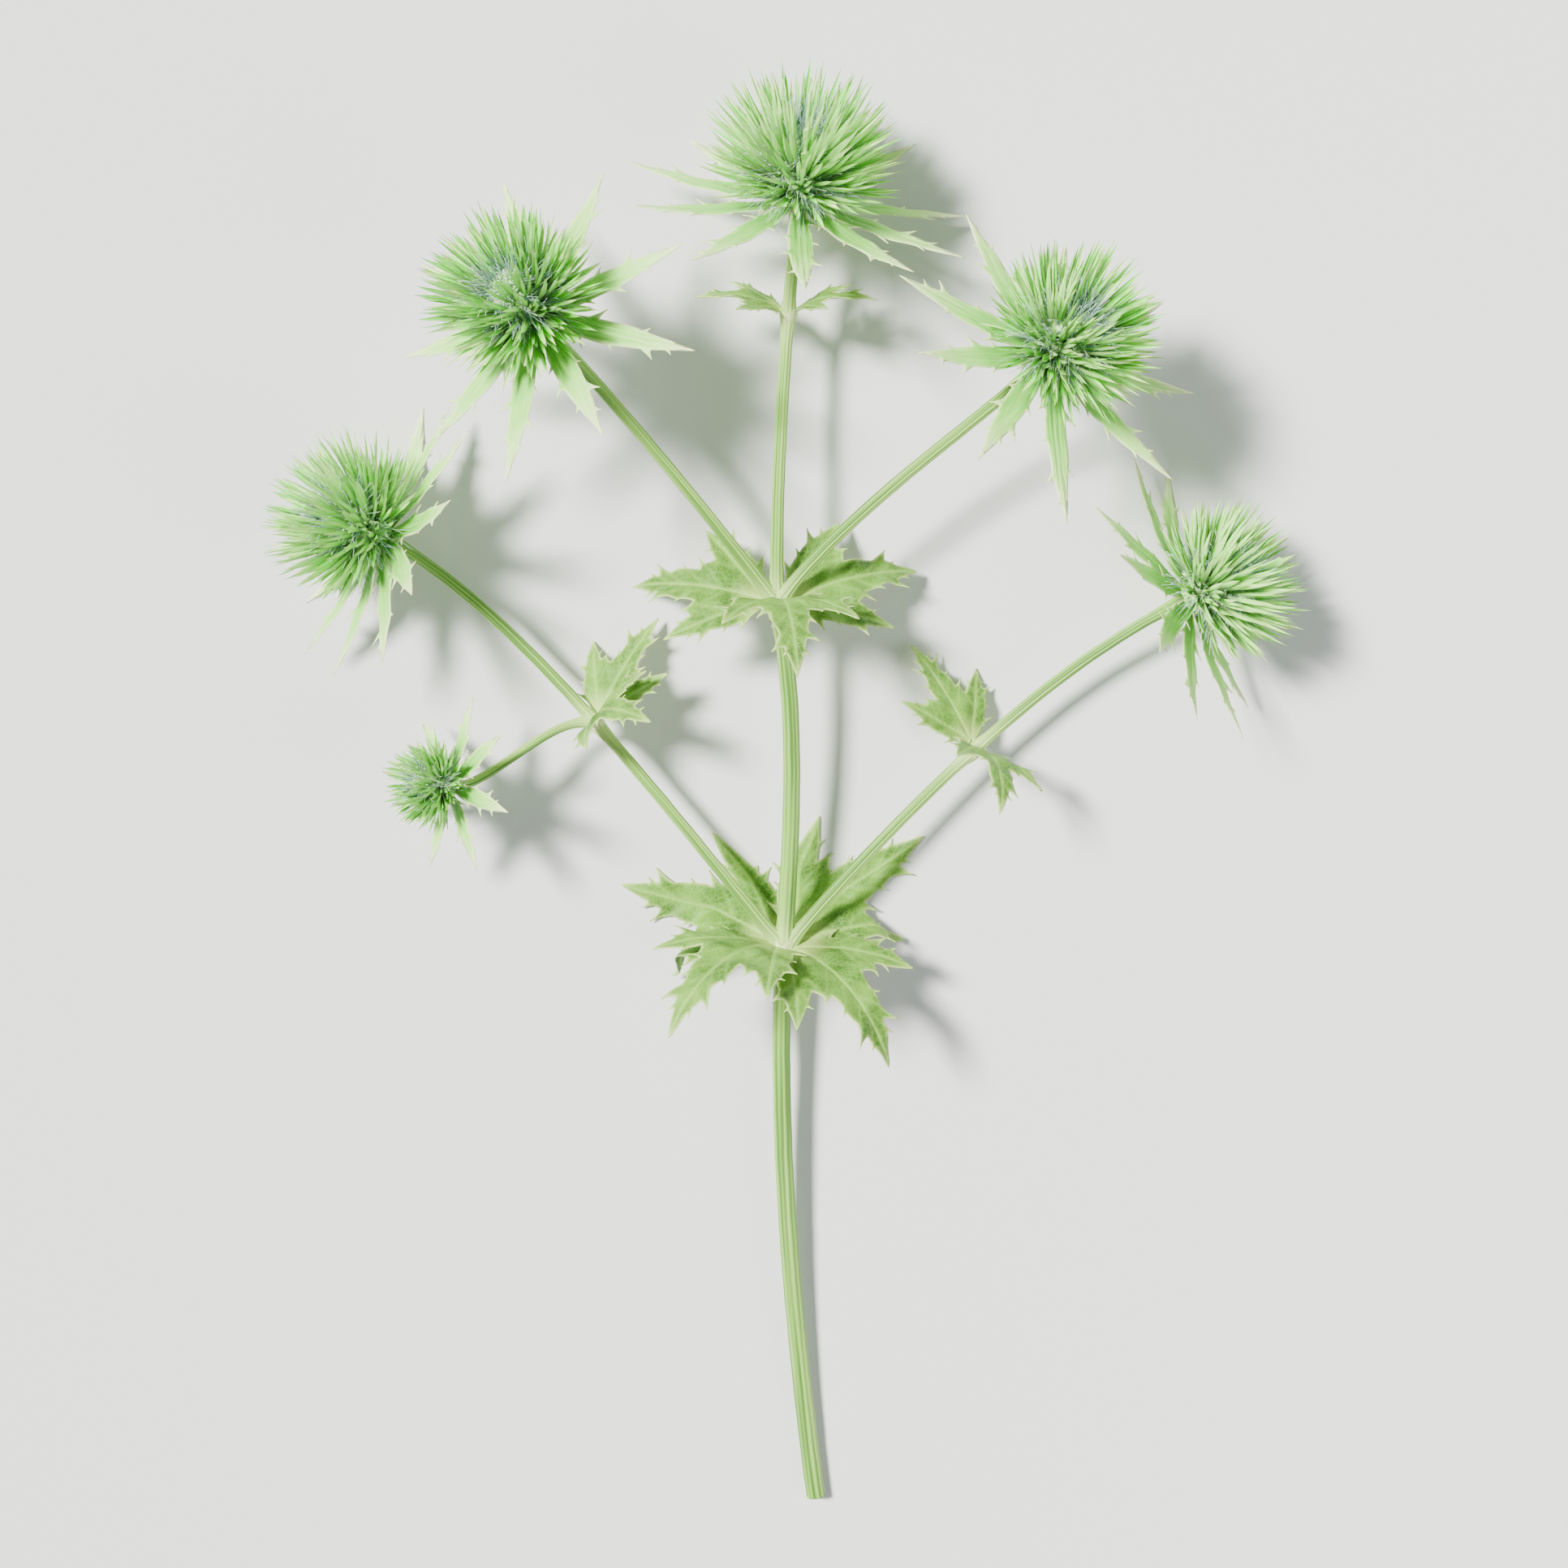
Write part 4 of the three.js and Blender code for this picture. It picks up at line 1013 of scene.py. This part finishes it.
rule, given = new_rule("florets on a dome", {
    "floret": "Object", "count": "Int", "dome radius": "Float", "dome height": "Float",
    "floret size": "Float", "seed": "Int", "skin": "Material"})
_, _, x, y, z = spiral(rule, given, 0.05, 2.05, 0.03, 0)
spot = on_dome(rule, given, x, y, z, 1.0, FLORET_RISE)
outward = vector_of(rule, x / given["dome radius"], y / given["dome radius"],
                    z / (given["dome height"] * FLORET_RISE))
roll = vector_of(rule, scattered(rule, given, 6, -1.0, 1.0), scattered(rule, given, 7, -1.0, 1.0), 0.2)
florets = sprout(rule, given, spot, 5, outward, roll, {
    "Instance": rule.node("GeometryNodeObjectInfo", values={"Object": given["floret"]}, output="Geometry"),
    "Scale": given["floret size"] * scattered(rule, given, 8, 0.8, 1.25)})
# The body under the florets takes the darkest colour of the run, as painted shade in the gaps between them.
shade_painted_core = painted(rule, given["Geometry"], "along", -1.0)
whole = rule.node("GeometryNodeJoinGeometry", values={"Geometry": [florets, shade_painted_core]})
floret_rule = end_rule(rule, whole, given["skin"])


def dome_core(radius, height):
    """The body of a dome in mm, closed by a point in the middle of its base and one on its top."""
    points = [(0, 0, 0)]
    for out, up in CORE_ROWS:
        points += [(radius * out * c, radius * out * s, height * up) for _, c, s in ring_of(CORE_SIDES)]
    points.append((0, 0, height * CORE_TOP))
    top, last = len(points) - 1, len(points) - 1 - CORE_SIDES
    faces = []
    for low in range(1, last, CORE_SIDES):
        faces += between(low, low + CORE_SIDES, CORE_SIDES)
    for j in range(CORE_SIDES):
        k = (j + 1) % CORE_SIDES
        faces += [(0, 1 + k, 1 + j), (last + j, last + k, top)]
    return new_mesh("dome_core", points, faces)


def seat_on_stem(piece, head):
    """Puts a grown piece in its head's place on the stem, in its mesh."""
    piece.data.transform(Matrix.Scale(MM, 4) @ head_frame(head) @ Matrix.Scale(1 / MM, 4))
    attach(piece, "root")
    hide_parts("flower_head_" + head)


for number, (head, facts) in enumerate(HEADS.items()):
    size = facts["size"]
    radius, height = DOME_RADIUS * BODY_WIDTH * size, DOME_HEIGHT * BODY_RISE * size
    piece = grow(head + "_florets", floret_rule, dome_core(radius, height), floret=floret,
                 count=round(60 + 130 * size), dome_radius=radius * MM, dome_height=height * MM,
                 floret_size=FLORET_SIZE * MM * (0.4 + 0.6 * size), seed=11 + number, skin=floret_skin)
    seat_on_stem(piece, head)

# ---- Filaments ----
# Fine, bent, grey-blue threads stand out between the florets and cross each other among the bristles.
# Each grows out of the dome, and thins and pales towards its end.

THREAD_LENGTH = 15  # mm, of the longest on the largest head
THREAD_THICKNESS = 0.11  # mm, the radius at the root
THREAD_BEND = 9.6  # times that radius
THREAD_ROOTS = (0.9, 0.58)  # how far out in the dome they are rooted, and how high above its middle
THREAD_ROWS = 6
THREAD_SIDES = 3

filament_skin, skin, shader = new_skin("filament_skin", Specular_IOR_Level=0.3)
along = marked(skin, "along")
face = run_of(skin, marked(skin, "tone") * 0.45 + along * 0.55,
              (0.0, (0.1, 0.18, 0.24)), (0.45, (0.28, 0.46, 0.45)), (0.75, (0.56, 0.86, 0.58)),
              (1.0, (0.95, 1.0, 0.8)))
dress(shader, face, 0.5 + along * 0.2, along, 0.0001)

thread_points, thread_faces, thread_marks = [], [(2, 1, 0)], []
for row in range(THREAD_ROWS + 1):
    share = row / THREAD_ROWS
    for _, c, s in ring_of(THREAD_SIDES):
        r = 1 - 0.45 * share
        thread_points.append((r * c + THREAD_BEND * math.sin(share * 2.2), r * s, share))
        thread_marks.append(share)
last = THREAD_ROWS * THREAD_SIDES
for low in range(0, last, THREAD_SIDES):
    thread_faces += between(low, low + THREAD_SIDES, THREAD_SIDES)
thread_faces.append((last, last + 1, last + 2))
thread = template("thread", thread_points, thread_faces, {"along": thread_marks}, smooth=True)

rule, given = new_rule("threads out of a dome", {
    "thread": "Object", "count": "Int", "dome radius": "Float", "dome height": "Float", "reach": "Float",
    "thickness": "Float", "seed": "Int", "skin": "Material"})
_, _, x, y, z = spiral(rule, given, 0.1, 1.95, 0.08, 20)
stray = [scattered(rule, given, salt, -0.7, 0.7) for salt in (26, 27, 28)]
outward = vector_of(rule, x + stray[0], y + stray[1], z + stray[2])
roll = vector_of(rule, stray[1], stray[2], stray[0])
long = given["reach"] * scattered(rule, given, 29, 0.55, 1.0)
threads = sprout(rule, given, on_dome(rule, given, x, y, z, *THREAD_ROOTS), 25, outward, roll, {
    "Instance": rule.node("GeometryNodeObjectInfo", values={"Object": given["thread"]}, output="Geometry"),
    "Scale": vector_of(rule, given["thickness"], given["thickness"], long)})
thread_rule = end_rule(rule, threads, given["skin"])

for number, (head, facts) in enumerate(HEADS.items()):
    size = facts["size"]
    piece = grow(head + "_filaments", thread_rule, bpy.data.meshes.new("filaments"), thread=thread,
                 count=round(800 * size), dome_radius=DOME_RADIUS * size * MM,
                 dome_height=DOME_HEIGHT * size * MM, reach=THREAD_LENGTH * size * MM,
                 thickness=THREAD_THICKNESS * MM, seed=31 + number, skin=filament_skin)
    seat_on_stem(piece, head)

# ---- Bracteoles ----
# Stiff, narrow, channelled bristles stand out all round the dome, their points on a ball. Where they
# leave it they are painted near black and dark grey-green, which is painted shade deep in the head;
# further out they are bright green, and cream along their edges and points.

# In mm, on the largest head: the ball, its middle above the base of the dome, how wide and how deep
# the bristles are, and how low above that base their points may come.
BALL_RADIUS = 29
BALL_HEIGHT = 12.5
BRACTEOLE_WIDTH = 1.52
BRACTEOLE_DEPTH = 1
LOWEST_TIP = 1.6
APEX_SHARE = 0.74  # of the ball's radius, at its top
FIRST_ANGLE = 0.48  # radians off the head's axis, of the highest and of the lowest bristle
WIDEST_ANGLE = 1.95
# Where they are rooted: a share of the dome's radius, and of its height for the highest and the lowest.
BRISTLE_ROOTS = (0.55, 0.62, 0.13)
# The shape of a bracteole on a length of 1: share of its length, half width, depth of its keel.
BRACTEOLE_ROWS = [(0.0, 0.2, 0.5), (0.25, 0.24, 0.6), (0.42, 0.36, 0.75), (0.56, 0.47, 0.85),
                  (0.68, 0.5, 0.8), (0.8, 0.38, 0.6), (0.89, 0.2, 0.35), (0.95, 0.08, 0.14)]
SPIKED_ROW = 4
SPIKE = 1.8  # times the half width there
FOLD = 1.1  # depth of the channel against the half width
# Round a row: share of the half width, share of the fold's depth, and how pale the margin is there.
# The last is the keel.
BRACTEOLE_RING = [(-1, 0.0, 1.0), (-0.6, 0.5, 0.2), (0, 1.0, 0.0), (0.6, 0.5, 0.2), (1, 0.0, 1.0),
                  (0, None, 0.4)]
# The kinds: how far each bows upwards, and whether it has a spike on each side.
BRACTEOLE_KINDS = {"a": (-0.5, False), "b": (1.8, False), "c": (3.2, False), "d": (0.7, False),
                   "e": (1.4, True)}

bracteole_skin, skin, shader = new_skin("bracteole_skin", Specular_IOR_Level=0.4)
along = marked(skin, "along")
margin = marked(skin, "margin")
fine = spots(skin, 700, 3.0)
# The first stops, near black and dark grey-green towards the dome, are painted shade deep in the head.
face = run_of(skin, along + (marked(skin, "tone") - 0.5) * 0.5 + (fine - 0.5) * 0.15,
              (0.0, (0.04, 0.055, 0.06)), (0.24, (0.13, 0.18, 0.13)), (0.46, (0.21, 0.47, 0.12)),
              (0.75, (0.29, 0.96, 0.1)), (1.0, (0.84, 1.0, 0.44)))
edge = ranged(skin, margin, 0.2, 0.7, 0.9, "SMOOTHSTEP")
face = mixed(skin, edge * (along * 0.6 + 0.3), face, (0.58, 1.0, 0.26))
dress(shader, face, 0.35 + fine * 0.25, margin * 0.6 + fine * 0.4, 0.0003)


def bracteole(name, bow, spike):
    """A template: a channelled, keeled blade that bows upwards, with or without a spike on each side."""
    points, faces, marks, margins = [], [], [], []
    sides = len(BRACTEOLE_RING)
    for row, (share, half, keel) in enumerate(BRACTEOLE_ROWS):
        rise = bow * share * share
        spiked = spike and row == SPIKED_ROW
        for across, fold, margin in BRACTEOLE_RING:
            out = SPIKE if spiked and abs(across) == 1 else 1.0
            height = rise - keel if fold is None else rise - fold * FOLD * half
            points.append((across * half * out, height, share + 0.12 * (out - 1)))
            margins.append(margin)
            marks.append(share)
    tip = len(points)
    points.append((0, bow, 1.0))
    marks.append(1.0)
    margins.append(1.0)
    for low in range(0, tip - sides, sides):
        faces += [tuple(reversed(face)) for face in between(low, low + sides, sides)]
    faces += [(tip, tip - sides + (j + 1) % sides, tip - sides + j) for j in range(sides)]
    faces.append(tuple(range(sides)))
    return template(name, points, faces, {"along": marks, "margin": margins})


bracteole_kinds = bpy.data.collections.new("bracteole_kinds")
for letter, (bow, spike) in BRACTEOLE_KINDS.items():
    bracteole_kinds.objects.link(bracteole("bracteole_" + letter, bow, spike))

rule, given = new_rule("bracteoles round a dome", {
    "kinds": "Collection", "count": "Int", "ball radius": "Float", "ball height": "Float",
    "dome radius": "Float", "dome height": "Float", "apex share": "Float", "first angle": "Float",
    "widest angle": "Float", "lowest tip": "Float", "width": "Float", "depth": "Float", "seed": "Int",
    "skin": "Material"})
polar, around, x, y, z = spiral(rule, given, given["first angle"], given["widest angle"], 0.085, 40)
from_apex = rule.math("MINIMUM", polar, 1.0)
share = given["apex share"] + (1 - given["apex share"]) * from_apex
reach = given["ball radius"] * share * scattered(rule, given, 45, 0.8, 1.05)
tip_height = rule.math("MAXIMUM", z * reach + given["ball height"], given["lowest tip"])
low = rule.math("MINIMUM", polar / given["widest angle"], 1.0)
inset, highest, lowest = BRISTLE_ROOTS
foot = vector_of(rule, x * given["dome radius"] * inset, y * given["dome radius"] * inset,
                 given["dome height"] * (highest - (highest - lowest) * low))
run = rule.node("ShaderNodeVectorMath", {"operation": "SUBTRACT"}, {
    0: vector_of(rule, x * reach, y * reach, tip_height), 1: foot})
long = rule.node("ShaderNodeVectorMath", {"operation": "LENGTH"}, {0: run}, output="Value")
stray = [scattered(rule, given, salt, -0.35, 0.35) for salt in (46, 47, 48)]
above = vector_of(rule, stray[0] - z * rule.math("COSINE", around),
                  stray[1] - z * rule.math("SINE", around), rule.math("SINE", polar) + stray[2])
wide = given["width"] * scattered(rule, given, 51, 0.65, 1.25) * (0.6 + 0.4 * from_apex)
# Of the five kinds, the spiked one comes up least often.
bristles = sprout(rule, given, foot, 49, run, above, {
    "Instance": rule.node("GeometryNodeCollectionInfo", values={
        "Collection": given["kinds"], "Separate Children": True, "Reset Children": True}),
    "Pick Instance": True,
    "Instance Index": rule.math("FLOOR", scattered(rule, given, 50, 0.0, 4.4)),
    "Scale": vector_of(rule, wide, given["depth"], long)}, roll_axis="Y")
bracteole_rule = end_rule(rule, bristles, given["skin"])

for number, (head, facts) in enumerate(HEADS.items()):
    size = facts["size"]
    stoutness = math.sqrt(size) * MM
    piece = grow(head + "_bracteoles", bracteole_rule, bpy.data.meshes.new("bracteoles"),
                 kinds=bracteole_kinds, count=round(90 + 310 * size), ball_radius=BALL_RADIUS * size * MM,
                 ball_height=BALL_HEIGHT * size * MM, dome_radius=DOME_RADIUS * size * MM,
                 dome_height=DOME_HEIGHT * size * MM, apex_share=APEX_SHARE, first_angle=FIRST_ANGLE,
                 widest_angle=WIDEST_ANGLE, lowest_tip=LOWEST_TIP * MM, width=BRACTEOLE_WIDTH * stoutness,
                 depth=BRACTEOLE_DEPTH * stoutness, seed=61 + number, skin=bracteole_skin)
    seat_on_stem(piece, head)
